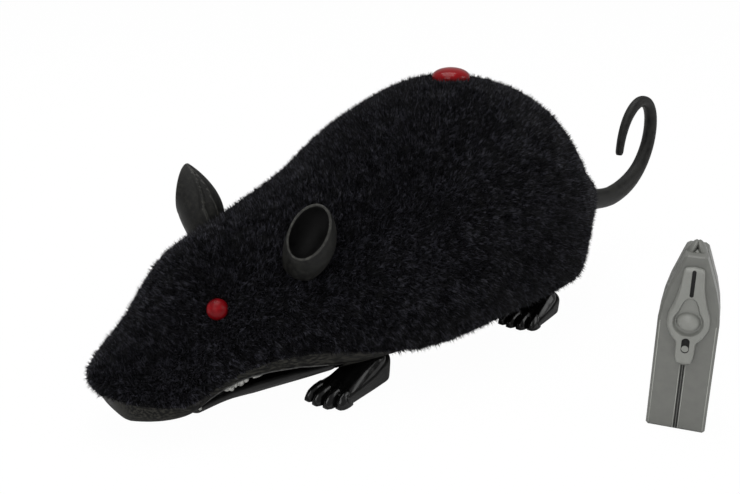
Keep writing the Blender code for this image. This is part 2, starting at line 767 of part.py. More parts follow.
def dish_top(x, y=0.0):
    """Height of the base's inner floor at a place."""
    share = share_of(x)
    back, belly = float(back_height(share)), float(belly_height(share))
    middle = belly + (back - belly) * WIDEST_SHARE
    level = max(0.0, 1 - (abs(y) / float(half_width(share))) ** BELLY_ROUNDNESS) ** (1 / BELLY_ROUNDNESS)
    return middle - (middle - belly) * level + COVER_THICKNESS + GAP + FLOOR_THICKNESS


def post_foot(x, y):
    """Height where a screw post of the shell stops over the base's floor."""
    return max(dish_top(x + side * POST_RADIUS, y) for side in (-1, 0, 1)) + GAP * 3


def ear_frame(side):
    """Frame of an ear cup: its width, height and facing direction."""
    facing = Vector((EAR_FACING[0], -side * EAR_FACING[1], EAR_FACING[2])).normalized()
    up = (Vector((0, 0, 1)) - facing * facing.z).normalized()
    across = up.cross(facing)
    return Matrix((across, up, facing)).transposed().to_4x4()


def ear_centre(side):
    """Centre of an ear's rim."""
    return Vector((station(EAR_STATION_SHARE), side * EAR_SIDE, EAR_LIFT))


def ear_point(side, along):
    """Point on an ear's stem: zero at the cup's centre, negative into the head."""
    lean = Vector((EAR_STEM_LEAN[0], -side * EAR_STEM_LEAN[1], EAR_STEM_LEAN[2])).normalized()
    return ear_centre(side) - lean * along


def build_ear(side, looks, root):
    """Rubber ear: a cup open to the front, on a tapering stem that plugs into the head."""
    frame = ear_frame(side)
    centre = ear_centre(side)
    outer = ball(centre, (EAR_HALF_WIDTH, EAR_HALF_HEIGHT, EAR_DEPTH), 12, 10, frame)
    front = block((-BODY_WIDTH, -BODY_WIDTH, 0), (BODY_WIDTH, BODY_WIDTH, BODY_WIDTH))
    shifted(front, Matrix.Translation(centre) @ frame)
    outer = cut(outer, front)
    stem = rod(ear_point(side, EAR_STEM_START), ear_point(side, -EAR_STEM_LENGTH),
               EAR_STEM_TOP_RADIUS, 12, EAR_STEM_FOOT_RADIUS)
    below = block((-BODY_WIDTH, -BODY_WIDTH, -EAR_WALL), (BODY_WIDTH, BODY_WIDTH, BODY_WIDTH))
    shifted(below, Matrix.Translation(centre) @ frame)
    stem = cut(stem, below)
    ear = join(outer, stem)
    hollow = ball(centre, (EAR_HALF_WIDTH - EAR_WALL, EAR_HALF_HEIGHT - EAR_WALL, EAR_DEPTH - EAR_WALL),
                  12, 10, frame)
    name = "ear_left" if side < 0 else "ear_right"
    return finish(cut(ear, hollow), name, looks["rubber"], parent=root, crisp=math.radians(60))


def build_eye(side, looks, root):
    """Red eye bead with a stem that presses into the shell."""
    start = eye_line(side)[0]
    bead = ball(eye_centre(side), (EYE_RADIUS,) * 3, 12, 8)
    bead = join(bead, rod(start, eye_centre(side), EYE_STEM_RADIUS, 8))
    name = "eye_left" if side < 0 else "eye_right"
    return finish(bead, name, looks["red"], parent=root)


def dome_point(lift):
    """Point on the receiver dome's axis, over the plush surface."""
    top = float(back_height(DOME_STATION_SHARE))
    return Vector((station(DOME_STATION_SHARE), 0, top + lift))


def build_dome(looks, root):
    """Red receiver window: a low dome on a collar that sits in the shell's opening."""
    inner = DOME_RADIUS - DOME_WALL
    steps = 4
    arc = [(DOME_RADIUS * math.sin(k * math.pi / 2 / steps), DOME_HEIGHT * math.cos(k * math.pi / 2 / steps))
           for k in range(steps + 1)]
    hollow = [(inner * math.sin(k * math.pi / 2 / steps),
               (DOME_HEIGHT - DOME_WALL) * math.cos(k * math.pi / 2 / steps)) for k in range(steps, -1, -1)]
    profile = arc + [(DOME_RADIUS, -DOME_COLLAR), (inner, -DOME_COLLAR)] + hollow
    dome = turned(profile, dome_point(0), steps=20)
    return finish(dome, "receiver_dome", looks["red"], parent=root)


def tail_point(index):
    """Point of the tail's centre line."""
    beyond, over = TAIL_POINTS[index]
    return Vector((BODY_LENGTH / 2 + beyond, 0, TAIL_SHARE * BODY_HEIGHT + over))


def tail_axis(along):
    """Point on the straight line through the tail's plug, zero at the tail's root."""
    return tail_point(0) + (tail_point(1) - tail_point(0)).normalized() * along


def tail_hole():
    """Cutter for the tail's plug and the first stretch of the tail behind it."""
    return rod(tail_axis(-TAIL_PLUG_LENGTH - GAP), tail_axis(TAIL_HOLE_LENGTH), TAIL_PLUG_RADIUS + GAP)


def build_tail(looks, root):
    """Rubber tail, a tapering curl with a plug held in the shell's end."""
    count = len(TAIL_POINTS)
    fine = np.linspace(0, count - 1, 23)
    knots = np.arange(count)
    xs = smooth_curve(knots, [tail_point(i).x for i in range(count)], fine)
    zs = smooth_curve(knots, [tail_point(i).z for i in range(count)], fine)
    taper = np.linspace(0, 1, len(fine))
    radii = TAIL_ROOT_RADIUS + (TAIL_TIP_RADIUS - TAIL_ROOT_RADIUS) * taper**TAIL_TAPER_POWER
    radii[-1] = TAIL_TIP_RADIUS * TAIL_END_ROUNDING
    tail = tube([(x, 0, z) for x, z in zip(xs, zs)], radii)
    plug = rod(tail_axis(-TAIL_PLUG_LENGTH), tail_axis(TAIL_PLUG_LENGTH * TAIL_PLUG_OUT_SHARE),
               TAIL_PLUG_RADIUS, 12)
    return finish(join(plug, tail), "tail", looks["rubber"], parent=root, crisp=math.radians(60))


def build_jaw(looks, root):
    """Lower jaw: an open channel of the body form between the mouth and the throat."""
    line = [(station(s), v * BODY_HEIGHT) for s, v in zip(JAW_STATION_SHARES, JAW_TOP_SHARES)]
    end = (station(JAW_END_SHARE), line[-1][1])
    outline = line + [end, (end[0], FLOOR_CUT), (line[0][0], FLOOR_CUT)]
    keep = outline_plate([outline], -REACH, REACH)
    jaw = boolean(body_form(COVER_THICKNESS + GAP), keep, "INTERSECT")
    hollow = body_form(COVER_THICKNESS + GAP + SHELL_THICKNESS, LINING_AROUND, LINING_ALONG)
    jaw = cut(jaw, hollow)
    return finish(jaw, "lower_jaw", looks["gloss_black"], parent=root)


def build_teeth(looks, root):
    """Strip of upper teeth along the front of the mouth opening."""
    reach = side_reach(share_of(TEETH_X), MOUTH_SHARES[2] * BODY_HEIGHT)
    top = MOUTH_SHARES[1] * BODY_HEIGHT
    strip = block((TEETH_X, -reach, top), (TEETH_X + TEETH_BAR, reach, top + TEETH_BAR))
    for index in range(TEETH_COUNT):
        y = (index - (TEETH_COUNT - 1) / 2) * TEETH_PITCH
        tooth = rod((TEETH_X + TEETH_BAR / 2, y, top + GAP), (TEETH_X + TEETH_BAR / 2, y, top - TEETH_DROP),
                    TEETH_RADIUS, 6, TEETH_RADIUS * TEETH_TAPER_SHARE)
        strip = join(strip, tooth)
    lining = body_form(COVER_THICKNESS + SHELL_THICKNESS + GAP * 2, LINING_AROUND, LINING_ALONG)
    strip = boolean(strip, lining, "INTERSECT")
    return finish(strip, "upper_teeth", looks["ivory"], parent=root)


# Gear geometry, in the plane across the axles

def gear_outline(teeth, phase):
    """Involute gear outline of (x, z) points, one tooth centred on the phase angle."""
    pitch = GEAR_MODULE * teeth / 2
    base = pitch * math.cos(PRESSURE_ANGLE)
    tip = pitch + GEAR_MODULE * ADDENDUM_SHARE
    root = pitch - GEAR_MODULE * DEDENDUM_SHARE
    involute = math.tan(PRESSURE_ANGLE) - PRESSURE_ANGLE
    half_pitch = math.pi / (2 * teeth) - BACKLASH / (2 * pitch)

    def half_angle(radius):
        """Half of a tooth's angle at a radius."""
        roll = math.acos(min(1.0, base / max(radius, base)))
        return half_pitch + involute - (math.tan(roll) - roll)

    radii = (root, pitch, tip)
    if teeth > IDLER_PINION_TEETH:
        radii = (root, tip)
    outline = []
    for tooth in range(teeth):
        middle = phase + 2 * math.pi * tooth / teeth
        flank = [(r, half_angle(r)) for r in radii]
        outline += [(r * math.cos(middle - a), r * math.sin(middle - a)) for r, a in flank]
        outline += [(r * math.cos(middle + a), r * math.sin(middle + a)) for r, a in reversed(flank)]
    return outline


def circle(radius, sides, centre=(0.0, 0.0)):
    """Points of a circle in a plane."""
    return [(centre[0] + radius * math.cos(2 * math.pi * k / sides),
             centre[1] + radius * math.sin(2 * math.pi * k / sides)) for k in range(sides)]


def gear(teeth, phase, centre, start, end, bore, sides=12):
    """Gear between two depths on a centre, with its bore."""
    made = outline_plate([gear_outline(teeth, phase), circle(bore, sides)], start, end)
    return shifted(made, Matrix.Translation((centre[0], 0, centre[1])))


def step_from(centre, direction, distance):
    """Point at a distance and direction in the plane across the axles."""
    return centre[0] + distance * math.cos(direction), centre[1] + distance * math.sin(direction)


def mesh_distance(first, second):
    """Distance of two meshing gears' axes."""
    return GEAR_MODULE * (first + second) / 2 + CENTRE_SPREAD


AXLE_CENTRE = (AXLE_X, WHEEL_RADIUS)
IDLER_CENTRE = step_from(AXLE_CENTRE, IDLER_DIRECTION, mesh_distance(AXLE_GEAR_TEETH, IDLER_PINION_TEETH))
MOTOR_CENTRE = step_from(IDLER_CENTRE, MOTOR_DIRECTION, mesh_distance(IDLER_TEETH, MOTOR_PINION_TEETH))
IDLER_PINION_PHASE = IDLER_DIRECTION + math.pi + math.pi / IDLER_PINION_TEETH
MOTOR_PINION_PHASE = MOTOR_DIRECTION + math.pi + math.pi / MOTOR_PINION_TEETH


def across(centre, start, end, radius, sides=16):
    """Round bar along Y on a centre in the plane across the axles."""
    return rod((centre[0], start, centre[1]), (centre[0], end, centre[1]), radius, sides)


def build_drive(looks, root):
    """Drive axle with its gear, the two wheels and tyres, idler and motor with its pinion."""
    axle = across(AXLE_CENTRE, -AXLE_LENGTH / 2, AXLE_LENGTH / 2, AXLE_RADIUS)
    origin = (AXLE_CENTRE[0], 0, AXLE_CENTRE[1])
    finish(axle, "drive_axle", looks["steel"], origin, root)
    wide = AXLE_GEAR_WIDTH / 2
    made = gear(AXLE_GEAR_TEETH, IDLER_DIRECTION, AXLE_CENTRE, -wide, wide, AXLE_RADIUS + WHEEL_BORE_GRIP, 16)
    finish(made, "axle_gear", looks["nylon"], origin, root)
    for side, name in ((-1, "left"), (1, "right")):
        place_at = (AXLE_CENTRE[0], side * WHEEL_TRACK / 2, AXLE_CENTRE[1])
        finish(wheel_rim(place_at, side), f"wheel_{name}", looks["dark_plastic"], origin, root)
        finish(tyre(place_at), f"tyre_{name}", looks["tyre"], origin, root)

    idler = outline_plate([gear_outline(IDLER_TEETH, MOTOR_DIRECTION)], IDLER_GEAR_START,
                          IDLER_GEAR_START + IDLER_GEAR_WIDTH)
    small = outline_plate([gear_outline(IDLER_PINION_TEETH, IDLER_PINION_PHASE)],
                          -IDLER_PINION_WIDTH / 2, IDLER_GEAR_START + IDLER_GEAR_WIDTH / 2)
    idler = shifted(join(idler, small), Matrix.Translation((IDLER_CENTRE[0], 0, IDLER_CENTRE[1])))
    idler = cut(idler, across(IDLER_CENTRE, -GEARBOX_HALF_WIDTH, GEARBOX_HALF_WIDTH,
                              IDLER_PIN_RADIUS + RUNNING_CLEARANCE, 12))
    finish(idler, "idler_gear", looks["nylon"], (IDLER_CENTRE[0], 0, IDLER_CENTRE[1]), root)
    pin = across(IDLER_CENTRE, -GEARBOX_HALF_WIDTH + GAP, GEARBOX_HALF_WIDTH - GAP, IDLER_PIN_RADIUS, 12)
    finish(pin, "idler_pin", looks["steel"], (IDLER_CENTRE[0], 0, IDLER_CENTRE[1]), root)

    pinion_start = IDLER_GEAR_START - GAP
    pinion_end = IDLER_GEAR_START + IDLER_GEAR_WIDTH + GAP * 2
    centre = (MOTOR_CENTRE[0], 0, MOTOR_CENTRE[1])
    made = gear(MOTOR_PINION_TEETH, MOTOR_PINION_PHASE, MOTOR_CENTRE, pinion_start, pinion_end,
                MOTOR_SHAFT_RADIUS + WHEEL_BORE_GRIP, 12)
    finish(made, "motor_pinion", looks["brass"], centre, root)
    shaft_end = MOTOR_PLATE_FACE + GAP * 2
    shaft = across(MOTOR_CENTRE, shaft_end - MOTOR_SHAFT_LENGTH, shaft_end + MOTOR_BOSS_DEPTH,
                   MOTOR_SHAFT_RADIUS, 12)
    finish(shaft, "motor_shaft", looks["steel"], centre, root)
    build_motor(looks, root)


def build_motor(looks, root):
    """Small flat-sided can motor with its boss, end cap and two terminals, along Y."""
    low = MOTOR_PLATE_FACE + GAP
    high = low + MOTOR_LENGTH
    flat = MOTOR_HEIGHT / 2
    can = rod((0, low, 0), (0, high - MOTOR_END_CAP, 0), MOTOR_WIDTH / 2, 24)
    flats = block((-MOTOR_WIDTH, low - OVERRUN, -flat), (MOTOR_WIDTH, high + OVERRUN, flat))
    can = boolean(can, flats, "INTERSECT")
    cap = rod((0, high - MOTOR_END_CAP - GAP, 0), (0, high, 0), MOTOR_WIDTH / 2 - MOTOR_END_STEP, 20)
    step = flat - MOTOR_END_STEP
    cap = boolean(cap, block((-MOTOR_WIDTH, low, -step), (MOTOR_WIDTH, high + OVERRUN, step)), "INTERSECT")
    boss = rod((0, low - MOTOR_BOSS_PROUD, 0), (0, low + OVERRUN, 0), MOTOR_BOSS_RADIUS, 16)
    can = join(can, cap, boss)
    wide, deep, thick = TERMINAL_SIZE
    for side in (-1, 1):
        middle = side * MOTOR_WIDTH / 4
        can = join(can, block((middle - wide / 2, high - thick, -thick), (middle + wide / 2, high + deep, thick)))
    bore = rod((0, low - MOTOR_BOSS_PROUD - OVERRUN, 0), (0, low + GAP * 2 + MOTOR_BOSS_DEPTH, 0),
               MOTOR_SHAFT_RADIUS + RUNNING_CLEARANCE, 12)
    centre = (MOTOR_CENTRE[0], 0, MOTOR_CENTRE[1])
    turn = Matrix.Rotation(math.pi / 2 - MOTOR_DIRECTION, 4, "Y")
    can = shifted(cut(can, bore), Matrix.Translation(centre) @ turn)
    finish(can, "motor", looks["zinc"], centre, root)


def wheel_rim(place_at, side):
    """Wheel centre with a hub, a dished web and a rim that the tyre sits on."""
    outer = WHEEL_RADIUS - TYRE_THICKNESS - GAP / 3
    half = RIM_WIDTH / 2
    web = WHEEL_WEB / 2
    bore = AXLE_RADIUS + WHEEL_BORE_GRIP
    inner = outer - WHEEL_RIM_WALL
    profile = [(outer, half), (outer, -half), (inner, -half), (inner - web, -web), (WHEEL_HUB_RADIUS, -web),
               (WHEEL_HUB_RADIUS, -half), (bore, -half), (bore, half), (WHEEL_HUB_RADIUS, half),
               (WHEEL_HUB_RADIUS, web), (inner - web, web), (inner, half)]
    return turned(profile, place_at, (0, side, 0), 18, closed=True)


def tyre(place_at):
    """Rubber tyre, a ring with a crowned tread."""
    inner = WHEEL_RADIUS - TYRE_THICKNESS
    half = TYRE_WIDTH / 2
    profile = [(WHEEL_RADIUS - TYRE_CROWN, half), (WHEEL_RADIUS, half / 2), (WHEEL_RADIUS, -half / 2),
               (WHEEL_RADIUS - TYRE_CROWN, -half), (inner, -half), (inner, half)]
    return turned(profile, place_at, (0, 1, 0), 24, closed=True)


# Base moulding

def bay_box():
    """Low and high corners of the battery bay's cavity."""
    half = BAY_HALF_WIDTH
    roof = BASE_FLAT + DOOR_THICKNESS + GAP * 2 + CELL_RADIUS * 2 + BAY_CLEARANCE
    return (BAY_FRONT, -half, BASE_FLAT), (BAY_FRONT + BAY_LENGTH, half, roof)


def grown(low, high, side, top):
    """Corners of a box grown sideways and upwards, its floor kept."""
    return ((low[0] - side, low[1] - side, low[2]), (high[0] + side, high[1] + side, high[2] + top))


def build_base(looks, root):
    """Base moulding: a dish under the body with bay, gearbox, caster well, bosses and slots."""
    dish = body_form(COVER_THICKNESS + GAP)
    line = split_line(GAP)
    start = station(JAW_END_SHARE) + GAP
    low_part = [(start, base_line_height(start))] + [p for p in line if p[0] > start + GAP]
    keep = outline_plate([low_part + [(line[-1][0], FLOOR_CUT), (start, FLOOR_CUT)]], -REACH, REACH)
    dish = boolean(dish, keep, "INTERSECT")
    dish = cut(dish, body_form(COVER_THICKNESS + GAP + FLOOR_THICKNESS, LINING_AROUND, LINING_ALONG))

    low, high = bay_box()
    wall_low, wall_high = grown(low, high, BAY_WALL, BAY_WALL)
    dish = join(dish, block(wall_low, wall_high))
    gearbox = block((GEARBOX_FRONT, -GEARBOX_HALF_WIDTH, GEARBOX_FLOOR),
                    (GEARBOX_BACK, GEARBOX_HALF_WIDTH, GEARBOX_TOP))
    dish = join(dish, gearbox)
    plate = block((MOTOR_PLATE_FRONT, GEARBOX_HALF_WIDTH - GEARBOX_WALL, wall_high[2] - GAP),
                  (IDLER_CENTRE[0] + FORK_RADIUS, GEARBOX_HALF_WIDTH, MOTOR_PLATE_TOP))
    dish = join(dish, plate)
    well_floor = float(belly_height(share_of(CASTER_X))) + COVER_THICKNESS + GAP * 2
    dish = join(dish, rod((CASTER_X, 0, well_floor), (CASTER_X, 0, WELL_TOP), WELL_RADIUS + WELL_WALL, 22))
    dish = cut(dish, rod((CASTER_X, 0, FLOOR_CUT), (CASTER_X, 0, WELL_TOP - WELL_WALL), WELL_RADIUS, 22))
    dish = cut(dish, rod((CASTER_X, 0, 0), (CASTER_X, 0, WELL_TOP + OVERRUN),
                         PIVOT_RADIUS + RUNNING_CLEARANCE, 16))

    dish = cut(dish, block((low[0], low[1], low[2] - OVERRUN), high))
    lip = DOOR_MARGIN
    dish = cut(dish, block((low[0] - lip, low[1] - lip, low[2] - OVERRUN),
                           (high[0] + lip, high[1] + lip, low[2] + DOOR_THICKNESS + GAP)))
    inside = GEARBOX_HALF_WIDTH - GEARBOX_WALL
    dish = cut(dish, block((GEARBOX_FRONT + GEARBOX_WALL, -inside, GEARBOX_FLOOR + GEARBOX_WALL),
                           (GEARBOX_BACK - GEARBOX_WALL, inside, MOTOR_PLATE_TOP + OVERRUN)))
    wide = GEARBOX_HALF_WIDTH + OVERRUN
    dish = cut(dish,
               across(AXLE_CENTRE, -wide, wide, AXLE_RADIUS + RUNNING_CLEARANCE),
               across(IDLER_CENTRE, -wide, wide, IDLER_PIN_RADIUS + RUNNING_CLEARANCE / 4, 12),
               across(MOTOR_CENTRE, 0, wide, MOTOR_BOSS_RADIUS + RUNNING_CLEARANCE, 16))
    for side in (-1, 1):
        near = side * GEARBOX_HALF_WIDTH
        far = side * (WHEEL_TRACK / 2 + TYRE_WIDTH / 2 + WHEEL_SIDE_CLEARANCE)
        span = WHEEL_RADIUS + WHEEL_SIDE_CLEARANCE
        slot = block((AXLE_X - span, min(near, far), FLOOR_CUT),
                     (AXLE_X + span, max(near, far), WHEEL_RADIUS * 2))
        dish = cut(dish, slot)
    for x, y in POST_PLACES:
        seat = post_foot(x, y) - GAP
        boss = rod((x, y, seat - BOSS_HEIGHT), (x, y, seat), POST_RADIUS + BOSS_WALL, 16)
        dish = join(dish, boolean(boss, body_form(COVER_THICKNESS + GAP + FLOOR_THICKNESS / 2), "INTERSECT"))
        dish = cut(dish, rod((x, y, 0), (x, y, seat - BOSS_FLOOR), SCREW_HEAD_RADIUS + GAP, 16))
        dish = cut(dish, rod((x, y, 0), (x, y, seat + OVERRUN), SCREW_RADIUS + GAP, 12))
    for x, y in foot_peg_places():
        dish = cut(dish, rod((x, y, 0), (x, y, dish_top(x, y) + OVERRUN * 2), FOOT_PEG_RADIUS + GAP, 12))
    dish = cut(dish, tail_hole())
    slot_low = (SWITCH_X - SWITCH_KNOB_LENGTH / 2 - GAP, SWITCH_Y - SWITCH_KNOB_WIDTH / 2 - GAP, 0)
    slot_high = (SWITCH_X + SWITCH_KNOB_LENGTH / 2 + SWITCH_TRAVEL + GAP,
                 SWITCH_Y + SWITCH_KNOB_WIDTH / 2 + GAP, dish_top(SWITCH_X, SWITCH_Y) + OVERRUN)
    dish = cut(dish, block(slot_low, slot_high))
    return finish(dish, "chassis", looks["dark_plastic"], parent=root, crisp=math.radians(30))


def base_line_height(x):
    """Height of the split line at an X."""
    points = split_line(GAP)
    return float(np.interp(x, [p[0] for p in points], [p[1] for p in points]))


def foot_peg_places():
    """Places of the pegs that hold the four feet to the base."""
    return [(station(share) + FOOT_PEG_BACK, side * FOOT_PEG_SIDE)
            for share in (FRONT_FOOT_STATION_SHARE, REAR_FOOT_STATION_SHARE) for side in (-1, 1)]


# Feet


def foot_shape():
    """One paw at its own place: heel towards +X, four clawed toes towards -X."""
    outline = [(u * FOOT_BODY_LENGTH, w * FOOT_HEIGHT) for u, w in FOOT_PROFILE_SHARES]
    paw = outline_plate([outline], -FOOT_WIDTH / 2, FOOT_WIDTH / 2)
    for vert in paw.data.vertices:
        narrow = 1 - (1 - HEEL_WIDTH_SHARE) * vert.co.x / FOOT_BODY_LENGTH
        vert.co.y *= narrow
    paw = soften(paw, FOOT_EDGE)
    for index in range(TOE_COUNT):
        share = index / (TOE_COUNT - 1) - 0.5
        y = share * FOOT_WIDTH * TOE_SPREAD_SHARE
        turn = -share * TOE_FAN * (TOE_COUNT - 1)
        ahead = Vector((-math.cos(turn), -math.sin(turn), 0))
        root_at = Vector((0, y, TOE_RADIUS))
        middle = root_at + ahead * TOE_LENGTH * TOE_MIDDLE_SHARE
        frame = Matrix.Rotation(turn, 4, "Z")
        toe = ball(middle, (TOE_LENGTH / 2, TOE_RADIUS, TOE_RADIUS), 6, 5, frame)
        tip = root_at + ahead * TOE_LENGTH * CLAW_ROOT_SHARE
        point = tip + ahead * CLAW_LENGTH - Vector((0, 0, TOE_RADIUS * CLAW_DROP_SHARE))
        claw = rod(tip, point, CLAW_RADIUS, 5, CLAW_RADIUS * CLAW_TIP_SHARE)
        paw = join(paw, toe, claw)
    return paw


def build_feet(looks, root):
    """Four paws, trimmed to clear the body and pegged into the base."""
    pattern = foot_shape()
    for share, word in ((FRONT_FOOT_STATION_SHARE, "front"), (REAR_FOOT_STATION_SHARE, "rear")):
        frame = Matrix.Translation((station(share), -FOOT_SIDE, FOOT_CLEARANCE))
        paw = shifted(copy_of(pattern), frame @ Matrix.Rotation(FOOT_TURN, 4, "Z"))
        paw = cut(paw, body_form(COVER_THICKNESS))
        pile = cut(body_form(-GAP), side_sweep(hem_line(GAP), REACH, FLOOR_CUT))
        paw = cut(paw, pile)
        x, y = station(share) + FOOT_PEG_BACK, -FOOT_PEG_SIDE
        foot = dish_top(x, y)
        paw = join(paw, rod((x, y, FOOT_CLEARANCE + TOE_RADIUS), (x, y, foot - GAP), FOOT_PEG_RADIUS, 12))
        other = mirrored(paw)
        finish(paw, f"foot_{word}_left", looks["gloss_black"], parent=root)
        finish(other, f"foot_{word}_right", looks["gloss_black"], parent=root)
    bpy.data.objects.remove(pattern, do_unlink=True)


# Front caster

def build_caster(looks, root):
    """Swivelling front caster: fork whose barbed pivot snaps into the well, wheel and axle."""
    pivot = (CASTER_X, 0, FORK_TOP)
    wheel_at = (CASTER_X + CASTER_TRAIL, CASTER_WHEEL_RADIUS)
    arm_in = CASTER_WHEEL_WIDTH / 2 + GAP
    arm_out = arm_in + FORK_THICKNESS
    fork = rod((CASTER_X, 0, FORK_TOP - FORK_THICKNESS), (CASTER_X, 0, FORK_TOP), FORK_RADIUS, 16)
    for side in (-1, 1):
        low_y, high_y = sorted((side * arm_in, side * arm_out))
        half = FORK_ARM_WIDTH / 2
        outline = [(wheel_at[0] - half, wheel_at[1] - half / 2), (wheel_at[0] + half, wheel_at[1] - half / 2),
                   (wheel_at[0] + half, FORK_TOP - FORK_THICKNESS / 2),
                   (CASTER_X - half, FORK_TOP - FORK_THICKNESS / 2)]
        fork = join(fork, outline_plate([outline], low_y, high_y))
    barb_z = WELL_TOP + GAP
    fork = join(fork, rod((CASTER_X, 0, FORK_TOP - FORK_THICKNESS / 2), (CASTER_X, 0, barb_z + BARB_HEIGHT / 2),
                          PIVOT_RADIUS, 12))
    fork = join(fork, rod((CASTER_X, 0, barb_z), (CASTER_X, 0, barb_z + BARB_HEIGHT),
                          PIVOT_RADIUS + BARB_REACH, 12, PIVOT_RADIUS * BARB_TIP_SHARE))
    fork = cut(fork, across(wheel_at, -arm_out - OVERRUN, arm_out + OVERRUN,
                            CASTER_AXLE_RADIUS + WHEEL_BORE_GRIP, 12))
    finish(fork, "caster_fork", looks["dark_plastic"], pivot, root)
    centre = (wheel_at[0], 0, wheel_at[1])
    axle = across(wheel_at, -arm_out, arm_out, CASTER_AXLE_RADIUS, 12)
    finish(axle, "caster_axle", looks["steel"], centre, root)
    half = CASTER_WHEEL_WIDTH / 2
    bore = CASTER_AXLE_RADIUS + RUNNING_CLEARANCE
    profile = [(CASTER_WHEEL_RADIUS - TYRE_CROWN, half), (CASTER_WHEEL_RADIUS, half / 2),
               (CASTER_WHEEL_RADIUS, -half / 2), (CASTER_WHEEL_RADIUS - TYRE_CROWN, -half), (bore, -half),
               (bore, half)]
    finish(turned(profile, centre, (0, 1, 0), 20, closed=True), "caster_wheel", looks["tyre"], centre, root)


# Power: cells, contacts, door, switch

def build_power(looks, root):
    """Three cells with their contacts, the bay's door with its screw, and the power switch."""
    low, high = bay_box()
    height = low[2] + DOOR_THICKNESS + GAP * 2 + CELL_RADIUS
    slack = BAY_LENGTH - CELL_LENGTH - CONTACT_THICKNESS * 2 - GAP * 4
    for index in range(CELL_COUNT):
        y = (index - (CELL_COUNT - 1) / 2) * CELL_PITCH
        nose_first = index % 2 == 0
        front = low[0] + CONTACT_THICKNESS + GAP * 2 + (0 if nose_first else slack)
        sign = -1 if nose_first else 1
        middle = front + CELL_LENGTH / 2
        body = CELL_LENGTH / 2
        profile = [(0, body), (CELL_NIPPLE_RADIUS, body), (CELL_NIPPLE_RADIUS, body - CELL_NIPPLE),
                   (CELL_RADIUS - CELL_NIPPLE, body - CELL_NIPPLE), (CELL_RADIUS, body - CELL_NIPPLE * 2),
                   (CELL_RADIUS, -body), (0, -body)]
        cell = turned(profile, (middle, y, height), (sign, 0, 0), 14)
        finish(cell, f"battery_{index + 1}", looks["cell"], parent=root)
        spring_end = front + CELL_LENGTH + GAP if nose_first else front - GAP
        wall = high[0] - CONTACT_THICKNESS - GAP * 2 if nose_first else low[0] + CONTACT_THICKNESS + GAP * 2
        finish(contact_spring(wall, spring_end, y, height), f"battery_spring_{index + 1}", looks["steel"],
               parent=root)
    half = high[1] - GAP
    back = high[0] - GAP - CONTACT_THICKNESS
    for x, name in ((low[0] + GAP, "contact_plate_front"), (back, "contact_plate_rear")):
        reach = CELL_RADIUS * CONTACT_REACH_SHARE
        plate = block((x, -half, height - reach), (x + CONTACT_THICKNESS, half, height + reach))
        finish(plate, name, looks["steel"], parent=root)

    lip = DOOR_MARGIN - GAP
    door = block((low[0] - lip, low[1] - lip, low[2]), (high[0] + lip, high[1] + lip, low[2] + DOOR_THICKNESS))
    door = soften(door, DOOR_THICKNESS / 5)
    for index in range(DOOR_RIBS):
        x = low[0] + BAY_LENGTH * DOOR_RIB_START_SHARE + index * DOOR_RIB_PITCH
        door = cut(door, block((x, -DOOR_RIB_LENGTH / 2, low[2] - OVERRUN),
                               (x + DOOR_RIB_PITCH / 2, DOOR_RIB_LENGTH / 2, low[2] + DOOR_THICKNESS / 3)))
    finish(door, "battery_door", looks["dark_plastic"], parent=root)
    build_switch(looks, root)


def contact_spring(wall, end, y, height):
    """Contact coil from a bay wall to a cell, one unbroken wire."""
    points = []
    count = SPRING_TURNS * COIL_STEPS
    sign = 1 if end > wall else -1
    first, last = wall + sign * SPRING_WIRE, end - sign * SPRING_WIRE
    for k in range(count + 1):
        angle = 2 * math.pi * k / COIL_STEPS
        points.append((first + (last - first) * k / count, y + SPRING_RADIUS * math.cos(angle),
                       height + SPRING_RADIUS * math.sin(angle)))
    return tube(points, [SPRING_WIRE] * len(points), 1)


def build_switch(looks, root):
    """Slide switch: a case on the base's floor and a knob that passes through the slot."""
    floor = max(dish_top(SWITCH_X, SWITCH_Y + SWITCH_CASE_WIDTH / 2),
                dish_top(SWITCH_X + SWITCH_CASE_LENGTH, SWITCH_Y + SWITCH_CASE_WIDTH / 2)) + GAP
    middle = SWITCH_X + SWITCH_TRAVEL / 2
    half_x, half_y = SWITCH_CASE_LENGTH / 2, SWITCH_CASE_WIDTH / 2
    case = block((middle - half_x, SWITCH_Y - half_y, floor),
                 (middle + half_x, SWITCH_Y + half_y, floor + SWITCH_CASE_HEIGHT))
    wall = CONTACT_THICKNESS * 2
    case = cut(case, block((middle - half_x + wall, SWITCH_Y - half_y + wall, floor - OVERRUN),
                           (middle + half_x - wall, SWITCH_Y + half_y - wall, floor + SWITCH_CASE_HEIGHT - wall)))
    finish(case, "power_switch_case", looks["zinc"], parent=root)
    skin = dish_top(SWITCH_X, SWITCH_Y - SWITCH_KNOB_WIDTH / 2) - FLOOR_THICKNESS
    half_x, half_y = SWITCH_KNOB_LENGTH / 2, SWITCH_KNOB_WIDTH / 2
    knob = block((SWITCH_X - half_x, SWITCH_Y - half_y, skin - SWITCH_PROUD),
                 (SWITCH_X + half_x, SWITCH_Y + half_y, floor + wall))
    half_x, half_y = half_x * SLIDER_LENGTH_SHARE, half_y * SLIDER_WIDTH_SHARE
    slider = block((SWITCH_X - half_x, SWITCH_Y - half_y, floor + wall / 2),
                   (SWITCH_X + half_x, SWITCH_Y + half_y, floor + SWITCH_CASE_HEIGHT - wall - GAP))
    finish(join(knob, slider), "switch_knob", looks["nylon"], (SWITCH_X, SWITCH_Y, floor), root)


# Electronics, gearbox cover and screws

